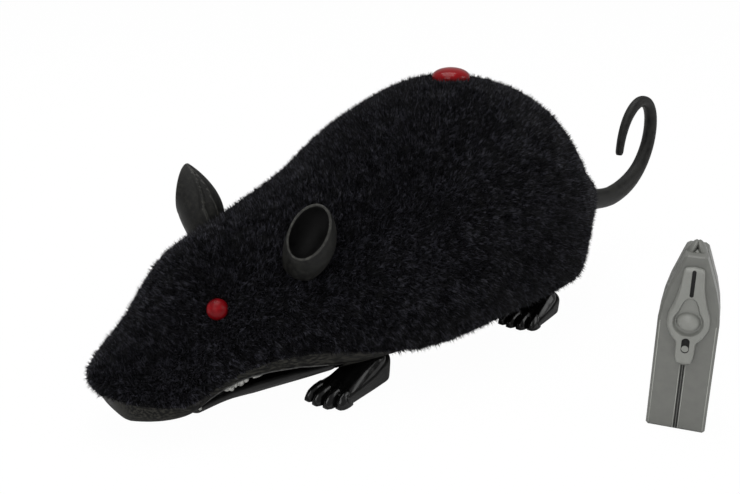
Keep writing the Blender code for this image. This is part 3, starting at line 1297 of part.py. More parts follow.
def build_electronics(looks, root):
    """Circuit board on the bay's roof, and the receiver under the dome with its lead."""
    low, high = bay_box()
    bottom = high[2] + BAY_WALL + BOARD_LIFT
    start = low[0] + BOARD_SET_BACK
    board = block((start, -BOARD_HALF_WIDTH, bottom),
                  (start + BOARD_LENGTH, BOARD_HALF_WIDTH, bottom + BOARD_THICKNESS))
    top = bottom + BOARD_THICKNESS
    for share, y_share, size in BOARD_PIECES:
        x, y = start + BOARD_LENGTH * share, BOARD_HALF_WIDTH * y_share
        board = join(board, block((x - size[0] / 2, y - size[1] / 2, top - BOARD_THICKNESS / 2),
                                  (x + size[0] / 2, y + size[1] / 2, top + size[2])))
    can_at = (start + BOARD_LENGTH * CAPACITOR_SHARES[0], BOARD_HALF_WIDTH * CAPACITOR_SHARES[1])
    can = rod((*can_at, top - BOARD_THICKNESS / 2), (*can_at, top + CAPACITOR_HEIGHT), CAPACITOR_RADIUS, 12)
    finish(join(board, can), "circuit_board", looks["board"], parent=root)

    radius = DOME_RADIUS - GAP
    seat = -LEDGE_TOP + GAP
    disc = rod(dome_point(seat), dome_point(seat + RECEIVER_BOARD), radius, 20)
    wide, deep, tall = RECEIVER_SIZE
    centre = dome_point(0)
    case = block((centre.x - wide / 2, -deep / 2, centre.z + seat + RECEIVER_BOARD / 2),
                 (centre.x + wide / 2, deep / 2, centre.z + seat + RECEIVER_BOARD + tall))
    lens = ball((centre.x, 0, centre.z + seat + RECEIVER_BOARD + tall), (deep / 3, deep / 3, deep / 4), 10, 6)
    finish(join(disc, case, lens), "ir_receiver", looks["board"], parent=root)

    route = [(centre.x, 0, centre.z + seat - GAP), (centre.x, 0, centre.z - LEDGE_DEPTH * 2)]
    for along, y, rise in LEAD_SHARES:
        route.append((start + BOARD_LENGTH * along, BOARD_HALF_WIDTH * y, top + (centre.z - top) * rise))
    route.append((route[-1][0], route[-1][1], top + GAP))
    knots = np.arange(len(route))
    fine = np.linspace(0, len(route) - 1, 16)
    columns = [smooth_curve(knots, [p[i] for p in route], fine) for i in range(3)]
    lead = tube(list(zip(*columns)), [LEAD_RADIUS] * len(fine), 1)
    finish(lead, "receiver_lead", looks["cable"], parent=root)


def build_gear_cover(looks, root):
    """Hood over the gears, standing on the gearbox walls, one side closed."""
    outer = [(GEARBOX_FRONT, GEARBOX_TOP + GAP)]
    reach = GEAR_ROOM
    pinion = GEAR_MODULE * (MOTOR_PINION_TEETH / 2 + 1)
    big = GEAR_MODULE * (IDLER_TEETH / 2 + 1)
    for angle in np.linspace(*HOOD_PINION_ARC, 5):
        outer.append(step_from(MOTOR_CENTRE, angle, pinion + reach))
    for angle in np.linspace(*HOOD_IDLER_ARC, 4):
        outer.append(step_from(IDLER_CENTRE, angle, big + reach))
    outer.append((GEARBOX_BACK - GEARBOX_WALL * 2, GEARBOX_TOP + COVER_PLATE + GAP))
    outer.append((GEARBOX_BACK, GEARBOX_TOP + COVER_PLATE + GAP))
    outer.append((GEARBOX_BACK, GEARBOX_TOP + GAP))
    outside = GEARBOX_HALF_WIDTH
    inside = GEARBOX_HALF_WIDTH - GEARBOX_WALL - GAP
    hood = outline_plate([outer], -outside, inside)
    centre = Vector((sum(p[0] for p in outer) / len(outer), GEARBOX_TOP + GAP))
    inner = []
    for x, z in outer:
        away = Vector((x, z)) - centre
        inner.append(tuple(centre + away * (1 - COVER_PLATE / max(away.length, COVER_PLATE))))
    inner = [(x, z) for x, z in inner if z > GEARBOX_TOP + HOOD_SEAT]
    inner.insert(0, (inner[0][0] + COVER_PLATE, GEARBOX_TOP - OVERRUN))
    inner.append((inner[-1][0], GEARBOX_TOP - OVERRUN))
    hood = cut(hood, outline_plate([inner], -outside + COVER_PLATE, inside + OVERRUN))
    finish(hood, "gearbox_cover", looks["dark_plastic"], parent=root, crisp=math.radians(30))


def build_screws(looks, root):
    """Case screws driven up through the base's bosses into the shell's posts."""
    for index, (x, y) in enumerate(POST_PLACES):
        seat = post_foot(x, y) - GAP - BOSS_FLOOR - GAP / 3
        made = screw((x, y, seat), (0, 0, 1), SCREW_LENGTH - GAP * 2)
        finish(made, f"case_screw_{index + 1}", looks["steel"], parent=root)


def screw(seat, axis, length):
    """Pan head screw with its head behind the seat and its shank along the axis."""
    crown = SCREW_HEAD_HEIGHT * SCREW_CROWN_SHARE
    profile = [(0, length), (SCREW_RADIUS / 2, length), (SCREW_RADIUS, length - SCREW_RADIUS), (SCREW_RADIUS, 0),
               (SCREW_HEAD_RADIUS, 0), (SCREW_HEAD_RADIUS, -SCREW_HEAD_HEIGHT + crown),
               (SCREW_HEAD_RADIUS * SCREW_FLAT_SHARE, -SCREW_HEAD_HEIGHT), (0, -SCREW_HEAD_HEIGHT)]
    return turned(profile, seat, axis, 10)


# Remote control, in its own frame: X across, Z up, its front towards -Y

def remote_outline(inset=0.0):
    """Front outline of the remote as (x, z) points, moved inwards by an inset."""
    right = [(x * REMOTE_WIDTH, z * REMOTE_HEIGHT) for x, z in REMOTE_OUTLINE_SHARES]
    points = right + [(-x, z) for x, z in reversed(right)]
    return inset_outline(points, inset) if inset else points


def inset_outline(points, inset):
    """Move a counter-clockwise outline inwards along its mitred corners."""
    count = len(points)
    moved = []
    for k in range(count):
        before, here, after = (Vector(points[(k + d) % count]) for d in (-1, 0, 1))
        first = (here - before).normalized()
        second = (after - here).normalized()
        inwards = Vector((-first.y - second.y, first.x + second.x))
        inwards.normalize()
        spread = max(MITRE_LIMIT_SHARE, inwards.dot(Vector((-first.y, first.x))))
        moved.append(tuple(here + inwards * (inset / spread)))
    return moved


def button_room(depth):
    """Cutters for the ball button's window and its axle's notches."""
    window = outline_plate([[(x * (BUTTON_HALF_WIDTH + BUTTON_ROOM), BUTTON_Z + z * (BUTTON_HALF_HEIGHT + BUTTON_ROOM))
                             for x, z in circle(1.0, 14)]], FRONT - REMOTE_WALL * 2, depth)
    half = BUTTON_AXLE_LENGTH / 2 + GAP
    tall = BUTTON_AXLE_RADIUS + RUNNING_CLEARANCE * 2
    notch = block((-half, FRONT - REMOTE_WALL * 2, BUTTON_Z - tall), (half, BUTTON_Y + tall, BUTTON_Z + tall))
    return window, notch


def slide_slot(depth, room):
    """Cutter for the slide knob's slot."""
    wide = SLIDE_RADIUS + room
    return block((-wide, FRONT - REMOTE_WALL * 2, SLIDE_Z - SLIDE_RADIUS - room),
                 (wide, depth, SLIDE_Z + SLIDE_RADIUS + SLIDE_TRAVEL + room))


def build_remote_cases(looks, root):
    """Front and back halves of the remote's case, hollow, meeting at the middle plane."""
    seam = GAP / 2
    front = outline_plate([remote_outline()], FRONT, -seam)
    front = soften(front, REMOTE_EDGE)
    front = cut(front, outline_plate([remote_outline(REMOTE_WALL)], FRONT + REMOTE_WALL, OVERRUN))
    front = cut(front, *button_room(FRONT + REMOTE_WALL * 3))
    front = cut(front, slide_slot(FRONT + REMOTE_WALL * 2, SLIDE_ROOM))
    half = GROOVE_WIDTH / 2
    front = cut(front, block((-half, FRONT - OVERRUN, -OVERRUN),
                             (half, FRONT + GROOVE_DEPTH, REMOTE_HEIGHT * GROOVE_TOP_SHARE)))
    front = cut(front, emitter_room())
    finish(front, "remote_front_case", looks["grey_plastic"], parent=root, crisp=math.radians(30))

    back = outline_plate([remote_outline()], seam, -FRONT)
    back = soften(back, REMOTE_EDGE)
    back = cut(back, outline_plate([remote_outline(REMOTE_WALL)], -OVERRUN, -FRONT - REMOTE_WALL))
    low, high = remote_bay()
    back = cut(back, block((low[0], -FRONT - REMOTE_WALL * 2, low[2]), (high[0], -FRONT + OVERRUN, high[2])))
    lip = DOOR_MARGIN
    back = cut(back, block((low[0] - lip, -FRONT - REMOTE_WALL / 2, low[2] - lip),
                           (high[0] + lip, -FRONT + OVERRUN, high[2] + lip)))
    shelf = block((-REMOTE_WIDTH / 2 + REMOTE_WALL / 2, seam, high[2] + lip),
                  (REMOTE_WIDTH / 2 - REMOTE_WALL / 2, -FRONT - REMOTE_WALL / 2, high[2] + lip + REMOTE_WALL))
    back = join(back, shelf)
    back = cut(back, emitter_room())
    finish(back, "remote_back_case", looks["grey_plastic"], parent=root, crisp=math.radians(30))


def remote_bay():
    """Corners of the remote's battery bay."""
    half = BUTTON_CELL_RADIUS + GAP
    return ((-half, 0, REMOTE_BAY_BOTTOM), (half, -FRONT - REMOTE_WALL / 2, REMOTE_BAY_BOTTOM + REMOTE_BAY_HEIGHT))


def emitter_room():
    """Cutter for the emitter where it leaves the case."""
    return rod((0, 0, REMOTE_HEIGHT * HOOD_BASE_SHARE - OVERRUN), (0, 0, REMOTE_HEIGHT + OVERRUN),
               EMITTER_RADIUS + GAP, 12)


def build_remote_front(looks, root):
    """Raised bezel, ball button on its axle, slide knob, emitter hood and emitter."""
    right = [(x * REMOTE_WIDTH, z * REMOTE_HEIGHT) for x, z in BEZEL_OUTLINE_SHARES]
    outline = [(x, z) for x, z in reversed(right)] + [(-x, z) for x, z in right]
    base = FRONT - GAP
    bezel = outline_plate([outline], base - BEZEL_HEIGHT, base)
    bezel = soften(bezel, BEZEL_EDGE)
    dip = inset_outline(outline, BEZEL_RIM)
    bezel = cut(bezel, outline_plate([dip], base - BEZEL_HEIGHT - OVERRUN, base - BEZEL_SEAT))
    bezel = cut(bezel, slide_slot(OVERRUN, SLIDE_ROOM), *button_room(OVERRUN))
    finish(bezel, "remote_bezel", looks["light_grey_plastic"], parent=root, crisp=math.radians(30))

    axis_at = (0, BUTTON_Y, BUTTON_Z)
    button = ball(axis_at, (BUTTON_HALF_WIDTH, BUTTON_DEPTH_RADIUS, BUTTON_HALF_HEIGHT), 14, 8)
    button = join(button, rod((-BUTTON_AXLE_LENGTH / 2, BUTTON_Y, BUTTON_Z), (BUTTON_AXLE_LENGTH / 2, BUTTON_Y, BUTTON_Z),
                              BUTTON_AXLE_RADIUS, 12))
    finish(button, "remote_button", looks["grey_plastic"], axis_at, root)

    inner = FRONT + REMOTE_WALL
    knob = rod((0, FRONT - GAP - BEZEL_HEIGHT - SLIDE_PROUD, SLIDE_Z), (0, inner + GAP * 2, SLIDE_Z), SLIDE_RADIUS, 14)
    foot = block((-SLIDE_FOOT, inner + GAP, SLIDE_Z - SLIDE_FOOT), (SLIDE_FOOT, inner + GAP + SLIDE_STEM_WIDTH,
                                                                 SLIDE_Z + SLIDE_FOOT))
    finish(join(knob, foot), "remote_slider", looks["light_grey_plastic"], (0, FRONT, SLIDE_Z), root)

    foot_z = REMOTE_HEIGHT * REMOTE_OUTLINE_SHARES[-1][1] + GAP
    top_z = REMOTE_HEIGHT
    bore = EMITTER_RADIUS + GAP
    wide = HOOD_WIDTH / 2
    hood = turned([(wide, foot_z), (bore, foot_z), (bore, top_z), (bore + HOOD_WALL * HOOD_LIP_SHARE, top_z),
                   (wide, foot_z + HOOD_WALL)][::-1], (0, 0, 0), steps=12, closed=True)
    finish(hood, "remote_led_hood", looks["grey_plastic"], parent=root)

    emitter_top = REMOTE_HEIGHT - HOOD_WALL
    emitter = rod((0, 0, emitter_top - EMITTER_LENGTH), (0, 0, emitter_top - EMITTER_RADIUS), EMITTER_RADIUS, 12)
    emitter = join(emitter, ball((0, 0, emitter_top - EMITTER_RADIUS), (EMITTER_RADIUS,) * 3, 12, 8))
    finish(emitter, "remote_led", looks["clear_plastic"], parent=root)


def build_remote_inside(looks, root):
    """Board with its key switch, button cells with their contact spring, and the door."""
    low, high = remote_bay()
    half = REMOTE_WIDTH / 2 - REMOTE_WALL - GAP * 2
    bottom = high[2] + DOOR_MARGIN + GAP
    top = REMOTE_HEIGHT * BOARD_TOP_SHARE
    narrow = half * BOARD_TOP_WIDTH_SHARE
    board = outline_plate([[(-half, bottom), (half, bottom), (half, REMOTE_HEIGHT * BOARD_SHOULDER_SHARE),
                            (narrow, top), (-narrow, top), (-half, REMOTE_HEIGHT * BOARD_SHOULDER_SHARE)]],
                          REMOTE_BOARD_Y - BOARD_THICKNESS, REMOTE_BOARD_Y)
    back_of_ball = BUTTON_Y + BUTTON_DEPTH_RADIUS
    face = REMOTE_BOARD_Y - BOARD_THICKNESS
    key = block((-KEY_SIZE / 2, face - KEY_HEIGHT, BUTTON_Z - KEY_SIZE / 2),
                (KEY_SIZE / 2, face + BOARD_THICKNESS / 2, BUTTON_Z + KEY_SIZE / 2))
    plunger = rod((0, back_of_ball + GAP, BUTTON_Z), (0, face, BUTTON_Z), KEY_SIZE / 4, 10)
    finish(join(board, key, plunger), "remote_board", looks["board"], parent=root)

    base_z = low[2] + CONTACT_THICKNESS * 2 + GAP
    middle_y = BUTTON_CELL_Y
    for index in range(BUTTON_CELL_COUNT):
        start = base_z + index * (BUTTON_CELL_HEIGHT + GAP / 3)
        edge = BUTTON_CELL_RADIUS - CELL_NIPPLE / 2
        profile = [(0, start + BUTTON_CELL_HEIGHT), (edge, start + BUTTON_CELL_HEIGHT),
                   (BUTTON_CELL_RADIUS, start + BUTTON_CELL_HEIGHT - CELL_NIPPLE / 2), (BUTTON_CELL_RADIUS, start),
                   (0, start)]
        finish(turned(profile, (0, middle_y, 0), steps=20), f"remote_battery_{index + 1}", looks["steel"],
               parent=root)
    first = base_z + BUTTON_CELL_COUNT * (BUTTON_CELL_HEIGHT + GAP / 3) + SPRING_WIRE + GAP
    last = high[2] - SPRING_WIRE - GAP
    count = REMOTE_SPRING_TURNS * COIL_STEPS
    points = []
    for k in range(count + 1):
        angle = 2 * math.pi * k / COIL_STEPS
        points.append((SPRING_RADIUS * math.cos(angle), middle_y + SPRING_RADIUS * math.sin(angle),
                       first + (last - first) * k / count))
    finish(tube(points, [SPRING_WIRE] * len(points), 1), "remote_contact_spring", looks["steel"], parent=root)

    lip = DOOR_MARGIN - GAP
    inner_y = -FRONT - REMOTE_WALL / 2 + GAP / 2
    door = soften(block((low[0] - lip, inner_y, low[2] - lip), (high[0] + lip, -FRONT, high[2] + lip)), BEZEL_EDGE / 2)
    for index in range(DOOR_RIBS):
        z = low[2] + REMOTE_BAY_HEIGHT * DOOR_RIB_START_SHARE + index * BEZEL_RIM - DOOR_RIB_LENGTH / 4
        door = cut(door, block((-SLIDE_FOOT, -FRONT - GROOVE_DEPTH / 2, z),
                               (SLIDE_FOOT, -FRONT + OVERRUN, z + BEZEL_RIM / 2)))
    finish(door, "remote_battery_door", looks["grey_plastic"], parent=root)


def palette():
    """Materials of the object, by finish."""
    return {
        "plush": material("plush", (0.012, 0.012, 0.015), 0.95),
        "dark_plastic": material("dark_plastic", (0.035, 0.035, 0.037), 0.45),
        "gloss_black": material("gloss_black", (0.012, 0.012, 0.012), 0.12),
        "rubber": material("rubber", (0.045, 0.045, 0.043), 0.6),
        "red": material("red", (0.45, 0.005, 0.01), 0.12),
        "ivory": material("ivory", (0.6, 0.6, 0.58), 0.4),
        "tyre": material("tyre", (0.03, 0.03, 0.03), 0.8),
        "nylon": material("nylon", (0.75, 0.74, 0.7), 0.45),
        "brass": material("brass", (0.7, 0.52, 0.25), 0.3, 1.0),
        "steel": material("steel", (0.6, 0.6, 0.6), 0.3, 1.0),
        "zinc": material("zinc", (0.5, 0.5, 0.5), 0.4, 1.0),
        "cell": material("cell", (0.08, 0.25, 0.16), 0.35),
        "board": material("board", (0.02, 0.16, 0.08), 0.5),
        "cable": material("cable", (0.3, 0.02, 0.02), 0.5),
        "grey_plastic": material("grey_plastic", (0.16, 0.16, 0.15), 0.45),
        "light_grey_plastic": material("light_grey_plastic", (0.2, 0.2, 0.19), 0.4),
        "clear_plastic": material("clear_plastic", (0.5, 0.5, 0.52), 0.1),
    }


def centre_on_floor(root):
    """Move the root so that the whole object's box is centred over the origin."""
    bpy.context.view_layer.update()
    corners = [made.matrix_world @ vert.co for made in PARTS.objects if made.type == "MESH"
               for vert in made.data.vertices]
    low = Vector([min(c[i] for c in corners) for i in range(3)])
    high = Vector([max(c[i] for c in corners) for i in range(3)])
    root.location -= Vector(((low.x + high.x) / 2, (low.y + high.y) / 2, low.z))
    bpy.context.view_layer.update()


def main():
    """Build every part of the rat and its remote."""
    clear_scene()
    looks = palette()
    root = bpy.data.objects.new("rat_frame", None)
    remote = bpy.data.objects.new("remote_frame", None)
    for empty in (root, remote):
        PARTS.objects.link(empty)
    remote.parent = root
    remote.location = (*REMOTE_PLACE, 0)
    remote.rotation_euler = (0, 0, REMOTE_TURN)

    build_cover(looks, root)
    build_shell(looks, root)
    build_jaw(looks, root)
    build_teeth(looks, root)
    for side in (-1, 1):
        build_ear(side, looks, root)
        build_eye(side, looks, root)
    build_dome(looks, root)
    build_tail(looks, root)
    build_feet(looks, root)
    build_base(looks, root)
    build_drive(looks, root)
    build_caster(looks, root)
    build_power(looks, root)
    build_electronics(looks, root)
    build_gear_cover(looks, root)
    build_screws(looks, root)
    build_remote_cases(looks, remote)
    build_remote_front(looks, remote)
    build_remote_inside(looks, remote)
    centre_on_floor(root)


main()
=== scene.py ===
"""Looks of a remote controlled plush rat and its hand-held remote control.

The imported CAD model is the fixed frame. The pile, skin, ears, eyes, dome, tail, paws and muzzle are
surfaces worked out here over the same body form, and the rest of the frame gets its materials here.
All lengths are metres in the frame's own axes: +Z up, the nose towards -X.
"""
import json
import logging
import math
from dataclasses import dataclass, field
from enum import Enum

import bpy
import numpy as np
from mathutils import Matrix, Vector

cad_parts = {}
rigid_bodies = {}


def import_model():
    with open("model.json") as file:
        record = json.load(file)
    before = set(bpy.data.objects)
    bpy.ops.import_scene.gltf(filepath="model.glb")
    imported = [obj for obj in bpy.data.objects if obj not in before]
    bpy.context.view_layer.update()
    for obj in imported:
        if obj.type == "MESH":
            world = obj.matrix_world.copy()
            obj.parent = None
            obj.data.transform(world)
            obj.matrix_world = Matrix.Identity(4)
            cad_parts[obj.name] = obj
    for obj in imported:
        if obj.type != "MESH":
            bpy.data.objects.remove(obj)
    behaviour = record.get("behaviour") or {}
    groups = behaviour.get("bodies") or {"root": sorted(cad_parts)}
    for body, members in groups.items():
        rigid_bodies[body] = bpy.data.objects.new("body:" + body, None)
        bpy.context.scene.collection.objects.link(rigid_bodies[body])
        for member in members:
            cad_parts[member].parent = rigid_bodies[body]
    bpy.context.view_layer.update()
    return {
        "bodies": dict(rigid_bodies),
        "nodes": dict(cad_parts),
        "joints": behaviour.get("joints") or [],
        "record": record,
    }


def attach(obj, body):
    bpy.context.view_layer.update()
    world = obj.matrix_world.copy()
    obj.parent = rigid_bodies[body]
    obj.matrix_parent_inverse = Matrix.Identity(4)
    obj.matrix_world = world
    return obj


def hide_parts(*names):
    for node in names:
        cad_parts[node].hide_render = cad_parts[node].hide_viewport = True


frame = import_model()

SENSOR_WIDTH = 36.0
JOINTS = {joint["name"]: joint for joint in frame["joints"]}

AXLE_AT = Vector((0.052, 0.0, 0.0140))
RAT_AT = Vector(JOINTS["drive_spin"]["pos_m"]) - AXLE_AT

HASH_PRIMES = (73856093, 19349663, 83492791)
HASH_SALT, HASH_STIR = 2654435761, 1274126177
HASH_MASK, HASH_RANGE = 0x7FFFFFFF, 100003

log = logging.getLogger("rat")


# Number helpers

def smooth_curve(knots: np.ndarray, values: np.ndarray, wanted: np.ndarray) -> np.ndarray:
    """Run a monotone cubic through knots, with the Fritsch-Carlson tangents.

    Each span is the cubic Hermite of its two ends, whose tangents are the weighted harmonic
    mean of the slopes beside them, or zero where the slopes change sign.

    Args:
        knots: Rising positions.
        values: Value at each knot.
        wanted: Positions to work out.

    Returns:
        The values at the wanted positions.
    """
    x, y = np.asarray(knots, float), np.asarray(values, float)
    step = np.diff(x)
    slope = np.diff(y) / step
    before, after = slope[:-1], slope[1:]
    a, b = 2 * step[1:] + step[:-1], step[1:] + 2 * step[:-1]
    rising = before * after > 0
    safe_before = np.where(rising, before, 1.0)
    safe_after = np.where(rising, after, 1.0)
    inner = np.where(rising, (a + b) / (a / safe_before + b / safe_after), 0.0)
    tangent = np.concatenate([slope[:1], inner, slope[-1:]])
    span = np.clip(np.searchsorted(x, wanted) - 1, 0, len(step) - 1)
    h = step[span]
    t = (np.clip(wanted, x[0], x[-1]) - x[span]) / h
    m0, m1 = tangent[span] * h, tangent[span + 1] * h
    return ((2 * t**3 - 3 * t**2 + 1) * y[span] + (t**3 - 2 * t**2 + t) * m0
            + (3 * t**2 - 2 * t**3) * y[span + 1] + (t**3 - t**2) * m1)


def unit(vectors: np.ndarray) -> np.ndarray:
    """Scale vectors in the last axis to length one."""
    return vectors / np.maximum(np.linalg.norm(vectors, axis=-1, keepdims=True), 1e-12)


def jitter_of(cells: np.ndarray, salt: int) -> np.ndarray:
    """Fixed pseudo-random number from 0 to 1 for each row of whole-number cells."""
    first, second, third = (cells[:, axis] * prime for axis, prime in enumerate(HASH_PRIMES))
    mixed = first ^ second ^ third ^ (salt * HASH_SALT)
    mixed = (mixed ^ (mixed >> 13)) * HASH_STIR & HASH_MASK
    return (mixed ^ (mixed >> 16)) % HASH_RANGE / HASH_RANGE


# Mesh helpers

def add_mesh(name: str, points: np.ndarray, faces: list, smooth: bool = True) -> bpy.types.Object:
    """Make an object at the origin from points and faces.

    Args:
        name: Name of the object and its mesh.
        points: Array of (count, 3) positions in the frame.
        faces: One or more integer arrays of (count, corners).
        smooth: Whether the faces are shaded smooth.

    Returns:
        The new object, linked to the scene.
    """
    mesh = bpy.data.meshes.new(name)
    loops = np.concatenate([part.reshape(-1) for part in faces]).astype(np.int32)
    sizes = np.concatenate([np.full(len(part), part.shape[1], np.int32) for part in faces])
    mesh.vertices.add(len(points))
    mesh.vertices.foreach_set("co", np.ascontiguousarray(points, np.float32).reshape(-1))
    mesh.loops.add(len(loops))
    mesh.loops.foreach_set("vertex_index", loops)
    mesh.polygons.add(len(sizes))
    starts = np.concatenate([[0], np.cumsum(sizes)[:-1]]).astype(np.int32)
    mesh.polygons.foreach_set("loop_start", starts)
    mesh.polygons.foreach_set("use_smooth", np.full(len(sizes), smooth))
    mesh.update(calc_edges=True)
    mesh.validate()
    made = bpy.data.objects.new(name, mesh)
    bpy.context.scene.collection.objects.link(made)
    return made


def quads(rows: int, columns: int, rings: bool = False, start: int = 0) -> np.ndarray:
    """Faces of a grid whose points run along its columns first.

    Args:
        rows: Number of rows of points.
        columns: Number of points in a row.
        rings: Whether each row is a ring.
        start: Index of the grid's first point.

    Returns:
        Integer array of (count, 4), turned so that columns x rows point outwards.
    """
    wide = columns if rings else columns - 1
    row, column = np.meshgrid(np.arange(rows - 1), np.arange(wide), indexing="ij")
    here, above, beside = row * columns, (row + 1) * columns, (column + 1) % columns
    faces = np.stack([here + column, here + beside, above + beside, above + column], -1)
    return faces.reshape(-1, 4) + start


def fan(ring: np.ndarray, hub: int, outwards: bool) -> np.ndarray:
    """Triangles from a ring of point numbers to a hub point."""
    after = np.roll(ring, -1)
    hubs = np.full_like(ring, hub)
    return np.stack([ring, after, hubs] if outwards else [after, ring, hubs], -1)


def tube(path: np.ndarray, radii: np.ndarray, sides: int, up: tuple = (0, 0, 1)) -> tuple:
    """Closed tube: a circle of changing radius carried along a path, its ends drawn to a point.

    The circle's two axes are the cross products of the path's direction with a fixed up vector.

    Args:
        path: Points of the centre line.
        radii: Radius at each point.
        sides: Points around.
        up: Vector that the second axis stays nearest to.

    Returns:
        The shape: its points and its list of face arrays.
    """
    ahead = unit(np.gradient(path, axis=0))
    side = unit(np.cross(np.broadcast_to(np.asarray(up, float), ahead.shape), ahead))
    lift = np.cross(ahead, side)
    turn = np.linspace(0, 2 * math.pi, sides, endpoint=False)
    ring = np.cos(turn)[None, :, None] * side[:, None] + np.sin(turn)[None, :, None] * lift[:, None]
    points = path[:, None] + ring * np.asarray(radii)[:, None, None]
    return drawn_together(points, path[0], path[-1])


def drawn_together(rings: np.ndarray, first: np.ndarray, last: np.ndarray) -> tuple:
    """Closed shape of rings of points, whose ends are drawn to a point each.

    Args:
        rings: Array of (rings, sides, 3), each ring turning left-handed about the way to the last.
        first: Point that closes the first ring.
        last: Point that closes the last ring.

    Returns:
        The shape: its points and its list of face arrays.
    """
    count, sides = rings.shape[:2]
    whole = np.concatenate([rings.reshape(-1, 3), [first], [last]])
    faces = [quads(count, sides, rings=True), fan(np.arange(sides), count * sides, False),
             fan((count - 1) * sides + np.arange(sides), count * sides + 1, True)]
    return outwards(whole, faces)


def outwards(points: np.ndarray, faces: list) -> tuple:
    """Turn a closed shape's faces over where its signed volume is negative.

    The volume is the sum over triangles of a . (b x c) / 6.

    Args:
        points: Points of the shape.
        faces: Face arrays that close it.

    Returns:
        The points and the face arrays, pointing outwards.
    """
    middle = points.mean(axis=0)
    volume = 0.0
    for part in faces:
        corner = points[part] - middle
        for k in range(1, part.shape[1] - 1):
            volume += float(np.sum(corner[:, 0] * np.cross(corner[:, k], corner[:, k + 1])))
    return points, [part[:, ::-1] for part in faces] if volume < 0 else faces


def lathe(profile: np.ndarray, sides: int, place: Matrix) -> tuple:
    """Closed lathe: a profile of (radius, height) turned about Z, its ends drawn to the axis.

    Args:
        profile: Points from the axis at the top, down the outside, back to the axis.
        sides: Points around.
        place: Matrix that lays the lathe into the frame.

    Returns:
        The shape: its points and its list of face arrays.
    """
    turn = np.linspace(0, 2 * math.pi, sides, endpoint=False)
    rings = profile[1:-1]
    points = np.stack([rings[:, :1] * np.cos(turn), rings[:, :1] * np.sin(turn),
                       np.broadcast_to(rings[:, 1:], (len(rings), sides))], -1)
    ends = np.array([[0, 0, profile[0, 1]], [0, 0, profile[-1, 1]]])
    return drawn_together(transformed(points, place), *transformed(ends, place))


def sheet(outer: np.ndarray, inner: np.ndarray) -> tuple:
    """Closed sheet between two grids of points, joined by a wall along their four edges.

    Args:
        outer: Grid of (rows, columns, 3) points of the outer face.
        inner: Grid of the same shape, of the inner face.

    Returns:
        The shape: its points and its list of face arrays.
    """
    rows, columns = outer.shape[:2]
    half = rows * columns
    whole = np.concatenate([outer.reshape(-1, 3), inner.reshape(-1, 3)])
    skin, lining = quads(rows, columns), quads(rows, columns, start=half)[:, ::-1]
    left, first = np.arange(rows) * columns, np.arange(columns)
    edges = ((left, False), (left + columns - 1, True), (first, True), (first + half - columns, False))
    walls = []
    for line, flip in edges:
        wall = np.stack([line[:-1], line[1:], line[1:] + half, line[:-1] + half], -1)
        walls.append(wall[:, ::-1] if flip else wall)
    return outwards(whole, [skin, lining, *walls])


def joined(name: str, shapes: list) -> bpy.types.Object:
    """Make one smooth object of several closed shapes.

    Args:
        name: Name of the object.
        shapes: Pairs of points and lists of face arrays.

    Returns:
        The new object.
    """
    points, faces, start = [], [], 0
    for spots, parts in shapes:
        points.append(spots)
        faces += [part + start for part in parts]
        start += len(spots)
    return add_mesh(name, np.concatenate(points), faces)


def transformed(points: np.ndarray, place: Matrix) -> np.ndarray:
    """Move points by a 4 x 4 matrix."""
    grid = np.array(place)
    return points @ grid[:3, :3].T + grid[:3, 3]


# Shared shader groups

